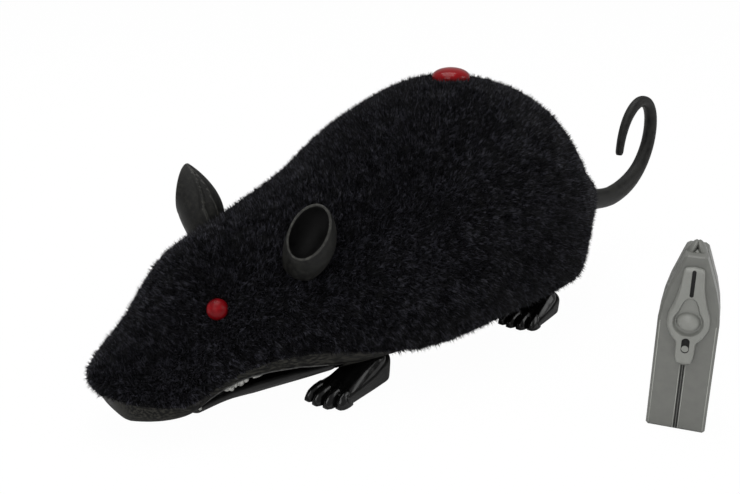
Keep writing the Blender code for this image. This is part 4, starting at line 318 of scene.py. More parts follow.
class Groups:
    """Node groups that several materials use, each built once."""

    @staticmethod
    def _new(name: str, inputs: dict, outputs: dict) -> tuple:
        """Start a shader group with number inputs and named outputs.

        Args:
            name: Name of the group.
            inputs: Input name to its default value.
            outputs: Output name to its socket type.

        Returns:
            The group, its input node and its output node.
        """
        group = bpy.data.node_groups.new(name, "ShaderNodeTree")
        group.interface.new_socket("Vector", in_out="INPUT", socket_type="NodeSocketVector")
        for word, value in inputs.items():
            socket = group.interface.new_socket(word, in_out="INPUT", socket_type="NodeSocketFloat")
            socket.default_value = value
        for word, kind in outputs.items():
            group.interface.new_socket(word, in_out="OUTPUT", socket_type=kind)
        return group, group.nodes.new("NodeGroupInput"), group.nodes.new("NodeGroupOutput")

    @staticmethod
    def _one_over(group: bpy.types.NodeTree, value: bpy.types.NodeSocket) -> bpy.types.NodeSocket:
        """Divide one by a value inside a group and return the result's socket."""
        divide = group.nodes.new("ShaderNodeMath")
        divide.operation = "DIVIDE"
        divide.inputs[0].default_value = 1.0
        group.links.new(value, divide.inputs[1])
        return divide.outputs[0]

    @classmethod
    def mottle(cls) -> bpy.types.NodeTree:
        """Cloudy patches with finer ones on them: a mask from 0 to 1 and a height."""
        found = bpy.data.node_groups.get("mottle")
        if found:
            return found
        group, given, result = cls._new("mottle", {"Size": 0.004, "Contrast": 1.0},
                                        {"Mask": "NodeSocketFloat", "Height": "NodeSocketFloat"})
        nodes, links = group.nodes, group.links
        cloud = nodes.new("ShaderNodeTexNoise")
        cloud.inputs["Detail"].default_value = 6.0
        cloud.inputs["Roughness"].default_value = 0.62
        links.new(given.outputs["Vector"], cloud.inputs["Vector"])
        links.new(cls._one_over(group, given.outputs["Size"]), cloud.inputs["Scale"])
        spread = nodes.new("ShaderNodeMapRange")
        spread.inputs["From Min"].default_value = 0.32
        spread.inputs["From Max"].default_value = 0.68
        links.new(cloud.outputs["Fac"], spread.inputs["Value"])
        power = nodes.new("ShaderNodeMath")
        power.operation = "POWER"
        links.new(spread.outputs["Result"], power.inputs[0])
        links.new(given.outputs["Contrast"], power.inputs[1])
        links.new(power.outputs[0], result.inputs["Mask"])
        links.new(cloud.outputs["Fac"], result.inputs["Height"])
        return group

    @classmethod
    def specks(cls) -> bpy.types.NodeTree:
        """Scattered small specks of dust: a mask from 0 to 1."""
        found = bpy.data.node_groups.get("specks")
        if found:
            return found
        group, given, result = cls._new("specks", {"Size": 0.0012, "Amount": 0.12},
                                        {"Mask": "NodeSocketFloat"})
        nodes, links = group.nodes, group.links
        spots = nodes.new("ShaderNodeTexVoronoi")
        links.new(given.outputs["Vector"], spots.inputs["Vector"])
        links.new(cls._one_over(group, given.outputs["Size"]), spots.inputs["Scale"])
        near = nodes.new("ShaderNodeMath")
        near.operation = "SUBTRACT"
        near.use_clamp = True
        links.new(given.outputs["Amount"], near.inputs[0])
        links.new(spots.outputs["Distance"], near.inputs[1])
        lift = nodes.new("ShaderNodeMath")
        lift.operation = "MULTIPLY"
        lift.use_clamp = True
        lift.inputs[1].default_value = 14.0
        links.new(near.outputs[0], lift.inputs[0])
        links.new(lift.outputs[0], result.inputs["Mask"])
        return group

    @classmethod
    def streaks(cls) -> bpy.types.NodeTree:
        """Short strokes drawn out along the first axis, as on a brushed or rubbed surface."""
        found = bpy.data.node_groups.get("streaks")
        if found:
            return found
        group, given, result = cls._new("streaks", {"Size": 0.0015, "Stretch": 9.0},
                                        {"Mask": "NodeSocketFloat"})
        nodes, links = group.nodes, group.links
        factor = nodes.new("ShaderNodeCombineXYZ")
        factor.inputs["Y"].default_value = 1.0
        factor.inputs["Z"].default_value = 1.0
        links.new(cls._one_over(group, given.outputs["Stretch"]), factor.inputs["X"])
        drawn = nodes.new("ShaderNodeVectorMath")
        drawn.operation = "MULTIPLY"
        links.new(given.outputs["Vector"], drawn.inputs[0])
        links.new(factor.outputs[0], drawn.inputs[1])
        noise = nodes.new("ShaderNodeTexNoise")
        noise.inputs["Detail"].default_value = 4.0
        links.new(drawn.outputs[0], noise.inputs["Vector"])
        links.new(cls._one_over(group, given.outputs["Size"]), noise.inputs["Scale"])
        spread = nodes.new("ShaderNodeMapRange")
        spread.inputs["From Min"].default_value = 0.44
        spread.inputs["From Max"].default_value = 0.62
        links.new(noise.outputs["Fac"], spread.inputs["Value"])
        links.new(spread.outputs["Result"], result.inputs["Mask"])
        return group


class Pattern(Enum):
    """Pattern that varies a finish over its surface."""

    MOTTLE = "mottle"
    STREAKS = "streaks"


@dataclass(frozen=True)
class Finish:
    """One material: two colours that a pattern mixes, with its gloss, bump, dust and clearness.

    Every number that is the same all over the surface is set on the shader's own socket.
    """

    name: str
    colour: tuple
    second: tuple
    roughness: float
    second_roughness: float
    metallic: float = 0.0
    pattern: Pattern = Pattern.MOTTLE
    pattern_size: float = 0.004
    contrast: float = 1.0
    bump: float = 0.15
    bump_depth: float = 0.00005
    bump_size: float = 0.0004
    dust: float = 0.0
    dust_size: float = 0.0016
    dust_colour: tuple = (0.30, 0.30, 0.28)
    transmission: float = 0.0
    ior: float = 1.46
    specular: float = 0.5
    coat: float = 0.0
    coat_roughness: float = 0.05
    sheen: float = 0.0
    sheen_roughness: float = 0.5
    sheen_tint: tuple = (1.0, 1.0, 1.0)

    def build(self) -> bpy.types.Material:
        """Build the material once and return it."""
        made = bpy.data.materials.get(self.name)
        if made:
            return made
        made = bpy.data.materials.new(self.name)
        made.use_nodes = True
        nodes, links = made.node_tree.nodes, made.node_tree.links
        shader = nodes["Principled BSDF"]
        place = nodes.new("ShaderNodeTexCoord").outputs["Object"]
        group = nodes.new("ShaderNodeGroup")
        group.node_tree = Groups.streaks() if self.pattern is Pattern.STREAKS else Groups.mottle()
        group.inputs["Size"].default_value = self.pattern_size
        if self.pattern is Pattern.MOTTLE:
            group.inputs["Contrast"].default_value = self.contrast
        links.new(place, group.inputs["Vector"])
        mask = group.outputs["Mask"]
        colour = self._mix(nodes, links, mask, self.colour, self.second)
        rough = nodes.new("ShaderNodeMapRange")
        rough.inputs["To Min"].default_value = self.roughness
        rough.inputs["To Max"].default_value = self.second_roughness
        links.new(mask, rough.inputs["Value"])
        if self.dust > 0:
            colour = self._dusted(nodes, links, place, colour)
        links.new(colour, shader.inputs["Base Color"])
        links.new(rough.outputs["Result"], shader.inputs["Roughness"])
        self._bump(nodes, links, place, shader)
        shader.inputs["Metallic"].default_value = self.metallic
        shader.inputs["IOR"].default_value = self.ior
        shader.inputs["Specular IOR Level"].default_value = self.specular
        shader.inputs["Transmission Weight"].default_value = self.transmission
        shader.inputs["Coat Weight"].default_value = self.coat
        shader.inputs["Coat Roughness"].default_value = self.coat_roughness
        shader.inputs["Sheen Weight"].default_value = self.sheen
        shader.inputs["Sheen Roughness"].default_value = self.sheen_roughness
        shader.inputs["Sheen Tint"].default_value = (*self.sheen_tint, 1.0)
        made.diffuse_color = (*self.colour, 1.0)
        return made

    @staticmethod
    def _mix(nodes: bpy.types.Nodes, links: bpy.types.NodeLinks, mask: bpy.types.NodeSocket,
             first: tuple, second: tuple) -> bpy.types.NodeSocket:
        """Mix two colours by a mask and return the colour's socket."""
        mix = nodes.new("ShaderNodeMix")
        mix.data_type = "RGBA"
        mix.inputs["A"].default_value = (*first, 1.0)
        mix.inputs["B"].default_value = (*second, 1.0)
        links.new(mask, mix.inputs["Factor"])
        return mix.outputs["Result"]

    def _dusted(self, nodes: bpy.types.Nodes, links: bpy.types.NodeLinks, place: bpy.types.NodeSocket,
                colour: bpy.types.NodeSocket) -> bpy.types.NodeSocket:
        """Lay specks of dust over a colour and return the new colour's socket."""
        group = nodes.new("ShaderNodeGroup")
        group.node_tree = Groups.specks()
        group.inputs["Size"].default_value = self.dust_size
        group.inputs["Amount"].default_value = self.dust
        links.new(place, group.inputs["Vector"])
        mix = nodes.new("ShaderNodeMix")
        mix.data_type = "RGBA"
        mix.inputs["B"].default_value = (*self.dust_colour, 1.0)
        links.new(colour, mix.inputs["A"])
        links.new(group.outputs["Mask"], mix.inputs["Factor"])
        return mix.outputs["Result"]

    def _bump(self, nodes: bpy.types.Nodes, links: bpy.types.NodeLinks, place: bpy.types.NodeSocket,
              shader: bpy.types.Node) -> None:
        """Raise the surface by a fine mottle."""
        if self.bump <= 0:
            return
        grain = nodes.new("ShaderNodeGroup")
        grain.node_tree = Groups.mottle()
        grain.inputs["Size"].default_value = self.bump_size
        links.new(place, grain.inputs["Vector"])
        bump = nodes.new("ShaderNodeBump")
        bump.inputs["Strength"].default_value = self.bump
        bump.inputs["Distance"].default_value = self.bump_depth
        links.new(grain.outputs["Height"], bump.inputs["Height"])
        links.new(bump.outputs["Normal"], shader.inputs["Normal"])


PILE = Finish("black_pile", (0.0008, 0.0008, 0.0012), (0.0060, 0.0060, 0.0080), 0.5, 0.8,
              pattern_size=0.0011, contrast=1.8, bump=0.0, specular=0.22, sheen=0.10,
              sheen_roughness=0.3, sheen_tint=(0.75, 0.75, 0.9))
# Painted glint: a lighter colour for some hairs, standing in for the light that the pile's fibres catch.
PAINTED_GLINT = Finish("painted_glint_pile", (0.016, 0.016, 0.022), (0.062, 0.062, 0.078), 0.45, 0.6,
               pattern_size=0.0011, bump=0.0, specular=0.35)
BACKING = Finish("pile_backing", (0.0015, 0.0015, 0.002), (0.004, 0.004, 0.0045), 0.9, 1.0,
                 pattern_size=0.0012, bump=0.8, bump_depth=0.0004, bump_size=0.0008, specular=0.1)
SHELL = Finish("rubbed_black_plastic", (0.0010, 0.0010, 0.0009), (0.030, 0.029, 0.025), 0.5, 0.75,
               pattern=Pattern.STREAKS, pattern_size=0.0006, bump=0.3, specular=0.12)
MOULDING = Finish("black_moulding", (0.016, 0.016, 0.016), (0.026, 0.026, 0.025), 0.4, 0.55, bump=0.2)
GLOSS = Finish("gloss_black_plastic", (0.0015, 0.0015, 0.0015), (0.0035, 0.0035, 0.0035), 0.12, 0.22,
               bump=0.12, bump_size=0.002, bump_depth=0.0002, specular=0.34, coat=0.08)
EAR_RUBBER = Finish("dusty_ear_rubber", (0.0022, 0.0022, 0.0020), (0.0165, 0.0165, 0.0143), 0.5, 0.7,
                    pattern_size=0.0016, contrast=2.0, bump=0.5, bump_depth=0.00015, bump_size=0.0006,
                    specular=0.2, dust=0.10, dust_size=0.0006, dust_colour=(0.06, 0.06, 0.05))
# Painted highlight: a lighter copy of the ear's rubber, laid on the rim and on two raised lines of the far
# ear.
RIM_PAINTED_HIGHLIGHT = Finish("painted_highlight_ear_rubber", (0.012, 0.012, 0.011), (0.056, 0.056, 0.049), 0.5, 0.7,
                    pattern_size=0.0012, contrast=1.8, bump=0.4, bump_depth=0.00012, bump_size=0.0006,
                    specular=0.3)
# Painted shade: a darker copy of the ear's rubber, laid inside the bowl.
BOWL_PAINTED_SHADE = Finish("painted_shade_ear_rubber", (0.0008, 0.0008, 0.0008), (0.0036, 0.0036, 0.0036), 0.55, 0.75,
                     pattern_size=0.0030, bump=0.4, bump_depth=0.00012, bump_size=0.0009, specular=0.16)
# Painted shade: dark plates laid in the remote's slot, window, groove and hood opening.
SHADE = Finish("painted_shade_opening", (0.006, 0.006, 0.006), (0.012, 0.012, 0.012), 0.6, 0.7, bump=0.0,
               specular=0.2)
SATIN = Finish("satin_black_moulding", (0.006, 0.006, 0.006), (0.014, 0.014, 0.0137), 0.40, 0.55, bump=0.2,
               specular=0.35)
# Painted highlight: a lighter colour along the rolled lip of the mouth.
LIP = Finish("painted_highlight_edge", (0.010, 0.010, 0.010), (0.070, 0.070, 0.066), 0.4, 0.55,
             pattern_size=0.0015, contrast=1.6, bump=0.1)
BEAD = Finish("red_bead", (0.085, 0.0005, 0.002), (0.19, 0.003, 0.006), 0.26, 0.38,
              pattern_size=0.0024, bump=0.25, bump_size=0.0012, bump_depth=0.0002,
              transmission=0.08, specular=0.10)
RUBBER = Finish("dark_rubber", (0.0020, 0.0020, 0.0019), (0.0150, 0.0150, 0.0130), 0.45, 0.65,
                pattern_size=0.0035, contrast=1.4, bump=0.35, bump_depth=0.00012, bump_size=0.0009,
                specular=0.25, dust=0.04, dust_colour=(0.05, 0.05, 0.043))
TREAD = Finish("tyre_rubber", (0.012, 0.012, 0.012), (0.03, 0.03, 0.028), 0.75, 0.9, bump=0.4)
RED = Finish("clear_red", (0.16, 0.001, 0.003), (0.27, 0.003, 0.006), 0.10, 0.16, pattern_size=0.006,
             bump=0.0, transmission=0.15, specular=0.16)
ENAMEL = Finish("tooth_grey", (0.14, 0.14, 0.133), (0.52, 0.52, 0.49), 0.3, 0.5, pattern_size=0.0009,
                contrast=1.8, bump=0.6, bump_size=0.0008)
REMOTE_GREY = Finish("satin_grey_plastic", (0.120, 0.122, 0.112), (0.138, 0.140, 0.128), 0.42, 0.52,
                     pattern_size=0.003, bump=0.22, bump_size=0.00035)
BEZEL_GREY = Finish("bezel_grey_plastic", (0.188, 0.191, 0.176), (0.212, 0.216, 0.199), 0.38, 0.48,
                    pattern_size=0.003, bump=0.2, bump_size=0.00035)
# Painted highlight: light grey for the lines along the remote's groove and edges.
PAINTED_HIGHLIGHT_GREY = Finish("painted_highlight_grey_edge", (0.26, 0.265, 0.245), (0.32, 0.325, 0.30), 0.4, 0.5, bump=0.1)
STEEL = Finish("bright_steel", (0.52, 0.52, 0.51), (0.62, 0.62, 0.61), 0.22, 0.4, metallic=1.0,
               pattern=Pattern.STREAKS, pattern_size=0.0006)
ZINC = Finish("zinc_plate", (0.42, 0.42, 0.41), (0.56, 0.56, 0.54), 0.3, 0.48, metallic=1.0,
              pattern_size=0.003)
BRASS = Finish("turned_brass", (0.60, 0.43, 0.18), (0.72, 0.54, 0.26), 0.22, 0.36, metallic=1.0)
NYLON = Finish("natural_nylon", (0.58, 0.57, 0.52), (0.68, 0.67, 0.62), 0.42, 0.52)
SLEEVE = Finish("cell_sleeve", (0.03, 0.13, 0.07), (0.05, 0.17, 0.10), 0.25, 0.34)
BOARD = Finish("green_board", (0.008, 0.075, 0.032), (0.018, 0.12, 0.055), 0.34, 0.48,
               pattern_size=0.0016)
INSULATION = Finish("red_insulation", (0.16, 0.008, 0.008), (0.22, 0.012, 0.012), 0.38, 0.5)
CLEAR = Finish("clear_lens", (0.72, 0.74, 0.76), (0.80, 0.82, 0.84), 0.06, 0.1, bump=0.0,
               transmission=0.85)


def dress(piece: bpy.types.Object, finish: Finish) -> bpy.types.Object:
    """Give an object one finish in all its material slots."""
    piece.data.materials.clear()
    piece.data.materials.append(finish.build())
    return piece


CAD_FINISHES = {
    "dark_plastic": MOULDING, "gloss_black": GLOSS, "rubber": RUBBER, "red": RED, "ivory": ENAMEL,
    "tyre": TREAD, "nylon": NYLON, "brass": BRASS, "steel": STEEL, "zinc": ZINC, "cell": SLEEVE,
    "board": BOARD, "cable": INSULATION, "grey_plastic": REMOTE_GREY, "light_grey_plastic": BEZEL_GREY,
    "clear_plastic": CLEAR, "plush": BACKING,
}


def dress_frame() -> None:
    """Give every CAD node the finish that its record slot stands for."""
    slots = {part["node"]: part["material_slot"] for part in frame["record"]["subparts"]}
    for name, node in frame["nodes"].items():
        dress(node, CAD_FINISHES[slots[name]])
        log.info("dressed %s as %s", name, slots[name])


# The body form, shared by skin, pile, shell, jaw and lip

@dataclass
class BodyForm:
    """Swelling and tapering body: two half superellipses at each station along X.

    At a station the widest level lies a share of the way from the belly line to the back line. The
    upper half follows |y/w|^p + |z/h|^p = 1 with the back's power and the lower half with the belly's.
    """

    length: float = 0.230
    height: float = 0.0915
    width: float = 0.103
    stations: tuple = (0.0, 0.03, 0.08, 0.16, 0.26, 0.38, 0.50, 0.62, 0.74, 0.84, 0.92, 0.97, 1.0)
    back: tuple = (0.228, 0.25, 0.32, 0.546, 0.624, 0.738, 0.912, 1.0, 0.932, 0.69, 0.54, 0.46, 0.412)
    belly: tuple = (0.209, 0.065, 0.052, 0.066, 0.062, 0.053, 0.053, 0.071, 0.109, 0.177, 0.25, 0.3, 0.362)
    widths: tuple = (0.01, 0.28, 0.452, 0.55, 0.70, 0.843, 0.95, 0.95, 0.86, 0.58, 0.35, 0.19, 0.02)
    widest: float = 0.42
    back_power: float = 2.0
    belly_power: float = 2.8

    def station(self, share: np.ndarray) -> np.ndarray:
        """X of a share of the length, the nose being share zero."""
        return (share - 0.5) * self.length

    def lines(self, share: np.ndarray) -> tuple:
        """Back height, belly height, widest level and half width at shares."""
        back = self.height * smooth_curve(self.stations, self.back, share)
        belly = self.height * smooth_curve(self.stations, self.belly, share)
        half = self.width / 2 * smooth_curve(self.stations, self.widths, share)
        return back, belly, belly + (back - belly) * self.widest, half

    def surface(self, share: np.ndarray, angle: np.ndarray, inset: float = 0.0) -> tuple:
        """Points and normals at shares and angles, angle zero being the right side, a quarter the top.

        Args:
            share: Grid of shares of the length, one row a station.
            angle: Grid of angles around, of the same shape.
            inset: Depth below the form along its normal.

        Returns:
            Points in the rat's own frame and unit normals, both of shape (rows, columns, 3).
        """
        step = 1e-4
        here = self._point(share, angle)
        before, after = np.clip(share - step, 0, 1), np.clip(share + step, 0, 1)
        ahead = self._point(after, angle) - self._point(before, angle)
        around = self._point(share, angle + step) - self._point(share, angle - step)
        normal = unit(np.cross(around, ahead))
        flipped = np.sum(normal * (here - self._core(share)), -1, keepdims=True) < 0
        normal = np.where(flipped, -normal, normal)
        return here - normal * inset, normal

    def _core(self, share: np.ndarray) -> np.ndarray:
        """Middle of the section at shares."""
        back, belly = self.lines(share)[:2]
        station = self.station(np.clip(share, 0.03, 0.97))
        return np.stack([station, np.zeros_like(back), (back + belly) / 2], -1)

    def _point(self, share: np.ndarray, angle: np.ndarray) -> np.ndarray:
        """Points of the form itself."""
        back, belly, middle, half = self.lines(share)
        across, up = np.cos(angle), np.sin(angle)
        power = np.where(up > 0, 2 / self.back_power, 2 / self.belly_power)
        reach = np.where(up > 0, back - middle, middle - belly)
        y = half * np.sign(across) * np.abs(across) ** power
        z = middle + reach * np.sign(up) * np.abs(up) ** power
        return np.stack([self.station(share), y, z], -1)

    def angle_at(self, share: np.ndarray, height: np.ndarray) -> np.ndarray:
        """Angle on the right side where the form passes a height, from straight down to straight up."""
        back, belly, middle = self.lines(share)[:3]
        low = np.clip((middle - height) / np.maximum(middle - belly, 1e-6), 0, 1) ** (self.belly_power / 2)
        high = np.clip((height - middle) / np.maximum(back - middle, 1e-6), 0, 1) ** (self.back_power / 2)
        return np.where(height < middle, -np.arcsin(low), np.arcsin(high))

    def top(self, share: float, lift: float = 0.0) -> Vector:
        """Point on the back line, in the frame, moved up by a lift."""
        back = float(self.lines(np.array([share]))[0][0])
        return RAT_AT + Vector((float(self.station(share)), 0, back + lift))

    def side(self, share: float, height: float, side: int) -> Vector:
        """Point of the form at a share and a height on one side, in the frame."""
        angle = self.angle_at(np.array([share]), np.array([height]))
        point = self._point(np.array([share]), angle)[0]
        return RAT_AT + Vector((point[0], side * point[1], point[2]))


@dataclass
class Edges:
    """Lower edge of the plush and edge of the shell, as heights over shares of the length."""

    form: BodyForm
    hem_lift: float = 0.0075
    split_lift: float = 0.0068
    rear_drop: float = 0.0036
    rear_drop_shares: tuple = (0.72, 0.90)
    hem_stations: tuple = (0.0, 0.05, 0.085, 0.12, 0.155, 0.20, 0.25, 0.30, 0.36, 0.42)
    hem_shares: tuple = (0.145, 0.13, 0.125, 0.172, 0.207, 0.228, 0.228, 0.2, 0.165, 0.125)
    mouth_stations: tuple = (0.10, 0.115, 0.135, 0.16, 0.19, 0.23, 0.28, 0.34)
    mouth_shares: tuple = (0.096, 0.138, 0.165, 0.186, 0.192, 0.188, 0.16, 0.125)
    jaw_stations: tuple = (0.103, 0.118, 0.15, 0.19, 0.23, 0.28)
    jaw_shares: tuple = (0.088, 0.105, 0.122, 0.14, 0.148, 0.138)

    def _line(self, stations: tuple, shares: tuple, lift: float, share: np.ndarray) -> np.ndarray:
        """Height of a head line that runs into a line lifted over the belly."""
        head = np.interp(share, stations, np.asarray(shares) * self.form.height)
        belly = self.form.height * smooth_curve(self.form.stations, self.form.belly, share) + lift
        mix = np.clip((share - stations[-1]) / (0.50 - stations[-1]), 0, 1)
        return head * (1 - mix) + belly * mix

    def hem(self, share: np.ndarray) -> np.ndarray:
        """Height of the plush's lower edge, which drops towards the rump."""
        drop = np.interp(share, self.rear_drop_shares, (0, self.rear_drop))
        return self._line(self.hem_stations, self.hem_shares, self.hem_lift, share) - drop

    def split(self, share: np.ndarray) -> np.ndarray:
        """Height of the shell's lower edge, below the form ahead of the mouth."""
        line = self._line(self.mouth_stations, self.mouth_shares, self.split_lift, share)
        return np.where(share < self.mouth_stations[0], -1.0, line)


FORM = BodyForm()
EDGES = Edges(FORM)


# Plush

@dataclass
class PlushCoat:
    """Short pile on a dark backing: the body form from hem to hem, open where other pieces come through."""

    form: BodyForm
    edges: Edges
    root_depth: float = 0.0010
    pile_length: float = 0.0018
    pile_width: float = 0.00018
    pieces: int = 9
    hairs: int = 46000
    lean: float = 0.48
    clump: float = 0.0032
    hem_rise: float = 0.0019
    backing_rise: float = 0.0012
    stray: float = 0.10
    # Share of hairs that get the painted glint colour, and the size of their specks.
    painted_glints: float = 0.20
    speck: float = 0.00044
    puff: float = 0.0045
    puff_middle: tuple = (0.76, -0.80)
    puff_spread: tuple = (0.09, 0.36)
    backing_thickness: float = 0.0003
    tailwards: tuple = (0.60, 0.0, -0.22)
    tuft_pull: float = 0.65
    twig_pull: float = 0.85
    twig_share: float = 0.42
    own_pull: float = 0.45
    curl: float = 0.25
    stray_lean: float = 0.25
    stray_growth: float = 1.45
    seed: int = 700
    quick_thinning: int = 8
    quick_widening: float = 2.6
    holes: list = field(default_factory=list)

    def _puffed(self, share: np.ndarray, angle: np.ndarray) -> tuple:
        """Places and normals at the roots, pushed out in a bell round the lower sides of the rump."""
        around = np.arctan2(np.sin(angle), np.abs(np.cos(angle)))
        off_share = (share - self.puff_middle[0]) / self.puff_spread[0]
        off_angle = (around - self.puff_middle[1]) / self.puff_spread[1]
        bell = np.exp(-off_share ** 2 - off_angle ** 2)
        points, normal = self.form.surface(share, angle, self.root_depth)
        return points + normal * (self.puff * bell)[..., None], normal

    def add_hole(self, point: Vector, radius: float) -> None:
        """Leave out the pile within a radius of a point in the frame."""
        self.holes.append((np.array(point - RAT_AT), radius))

    def _clear(self, points: np.ndarray) -> np.ndarray:
        """Whether each point in the rat's own frame lies outside every hole."""
        keep = np.ones(len(points), bool)
        for centre, radius in self.holes:
            keep &= np.linalg.norm(points - centre, axis=-1) > radius
        return keep

    def build_backing(self) -> bpy.types.Object:
        """Backing under the pile: the form inset by the root depth, closed by a wall inwards.

        Each row runs from the hem on the right side over the back to the hem on the left.
        """
        rows, columns = 150, 121
        share = np.linspace(0.002, 0.998, rows)[:, None] * np.ones(columns)
        low = self.form.angle_at(share[:, 0], self.edges.hem(share[:, 0]) + self.backing_rise)[:, None]
        angle = low + (math.pi - 2 * low) * np.linspace(0, 1, columns)[None, :]
        outer, normal = self._puffed(share, angle)
        shift = np.array(RAT_AT)
        lining = outer + shift - normal * self.backing_thickness
        made = joined("plush_backing", [sheet(outer + shift, lining)])
        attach(made, "rat_body")
        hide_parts("plush_cover")
        return dress(made, BACKING)

    def _roots(self, count: int, random: np.random.Generator) -> tuple:
        """Places spread evenly by area over the form above the hem.

        Args:
            count: Number of places to draw.
            random: Seeded generator.

        Returns:
            Points and normals in the rat's own frame, with the share and angle of each.
        """
        rows, columns = 260, 360
        share = (np.arange(rows) + 0.5) / rows
        angle = (np.arange(columns) + 0.5) / columns * 2 * math.pi - math.pi / 2
        grid_share, grid_angle = np.meshgrid(share, angle, indexing="ij")
        points = self.form.surface(grid_share, grid_angle)[0]
        along, across = np.gradient(points, axis=0), np.gradient(points, axis=1)
        area = np.linalg.norm(np.cross(along, across), axis=-1)
        cover = points[..., 2] > self.edges.hem(grid_share) - 0.004
        weight = np.where(cover, area, 0).reshape(-1)
        cells = random.choice(len(weight), int(count * 1.06), p=weight / weight.sum())
        share = (cells // columns + random.random(len(cells))) / rows
        angle = (cells % columns + random.random(len(cells))) / columns * 2 * math.pi - math.pi / 2
        share = np.clip(share, 0.0015, 0.9985)
        points, normal = self._puffed(share, angle)
        keep = (points[:, 2] > self.edges.hem(share) + self.hem_rise) & self._clear(points)
        kept = np.flatnonzero(keep)[:count]
        return points[kept], normal[kept], share[kept], angle[kept]

    def _hairs(self, root: np.ndarray, normal: np.ndarray, cells: np.ndarray,
               random: np.random.Generator) -> np.ndarray:
        """Feet and tips of three-sided hairs that lean tailwards and gather in tufts and twigs.

        Each tip is the root plus the normal and the lean, with the offsets of its tuft and twig. The
        three points of the foot stand around the root across that direction.

        Args:
            root: Roots in the rat's own frame.
            normal: Normals at the roots.
            cells: Whole-number cell of each root's tuft.
            random: Seeded generator.

        Returns:
            Array of (hairs, 4, 3): three points of the foot, then the tip.
        """
        count = len(root)
        tuft = np.stack([jitter_of(cells, salt) for salt in (1, 2, 3)], -1) * 2 - 1
        small = np.floor(root / (self.clump * self.twig_share)).astype(np.int64)
        twig = np.stack([jitter_of(small, salt) for salt in (4, 5, 6)], -1) * 2 - 1
        tail = (np.array(self.tailwards) + tuft * self.tuft_pull + twig * self.twig_pull
                + random.normal(0, self.own_pull, (count, 3)))
        tail -= normal * np.sum(tail * normal, -1, keepdims=True)
        long = self.pile_length * (0.70 + 0.34 * random.random(count) + 0.16 * jitter_of(cells, 7))
        stray = random.random(count) < self.stray
        tail = np.where(stray[:, None], tail * self.stray_lean, tail)
        long = np.where(stray, long * self.stray_growth, long)
        wide = self.pile_width * (0.7 + 0.7 * random.random(count))
        wide = wide * 1.0
        ahead = unit(normal + tail * self.lean)
        side = unit(np.cross(ahead, random.normal(0, 1, (count, 3))))
        lift = np.cross(ahead, side)
        turn = np.array([0, 2, 4]) * math.pi / 3
        foot = (root[:, None] + (np.cos(turn)[None, :, None] * side[:, None]
                                 + np.sin(turn)[None, :, None] * lift[:, None]) * wide[:, None, None])
        bend = unit(ahead + tail * self.curl)
        tip = root + (ahead + bend) * (long / 2)[:, None]
        return np.concatenate([foot, tip[:, None]], 1)

    def build_pile(self, number: int) -> bpy.types.Object:
        """One share of the pile, some of whose hairs get a painted glint: a lighter colour in small specks.

        Args:
            number: Number of this piece, which seeds it.

        Returns:
            The new object.
        """
        random = np.random.default_rng(self.seed + number)
        count = self.hairs // 1
        root, normal, share, angle = self._roots(count, random)
        wave = 0.35 * np.sin(root[:, [1, 2, 0]] / self.clump * 1.7)
        cells = np.floor(root / self.clump + wave).astype(np.int64)
        points = self._hairs(root, normal, cells, random).reshape(-1, 3) + np.array(RAT_AT)
        base = np.arange(len(root))[:, None] * 4
        faces = np.concatenate([base + np.array(c) for c in ((0, 1, 3), (1, 2, 3), (2, 0, 3), (0, 2, 1))])
        # Painted glint: hairs in small specks, more of them in some tufts, take the lighter glint colour.
        wave = 0.3 * np.sin(root[:, [2, 0, 1]] / self.speck)
        specks = np.floor(root / self.speck + wave).astype(np.int64)
        painted_glint_hairs = jitter_of(specks, 8) < self.painted_glints * (0.3 + 1.4 * jitter_of(cells, 9))
        made = add_mesh(f"pile_{number}", points, [faces], smooth=False)
        spot = np.stack([share, (angle / (2 * math.pi) + 0.25) % 1.0], -1) * 0.98 + 0.01
        offset = np.array([(0.0, 0.0), (0.0012, 0.0), (0.0006, 0.001), (0.0006, 0.0004)])
        corner = (spot[:, None] + offset[None]).reshape(-1, 2)[faces.reshape(-1)]
        layer = made.data.uv_layers.new(name="OFBake")
        layer.data.foreach_set("uv", corner.astype(np.float32).reshape(-1))
        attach(made, "rat_body")
        dress(made, PILE)
        made.data.materials.append(PAINTED_GLINT.build())
        made.data.polygons.foreach_set("material_index", np.tile(painted_glint_hairs, 4).astype(np.int32))
        return made

    def build(self) -> list:
        """Build the backing and every share of the pile."""
        made = [self.build_backing()]
        made += [self.build_pile(number) for number in range(self.pieces)]
        return made


# Bare plastic below the plush

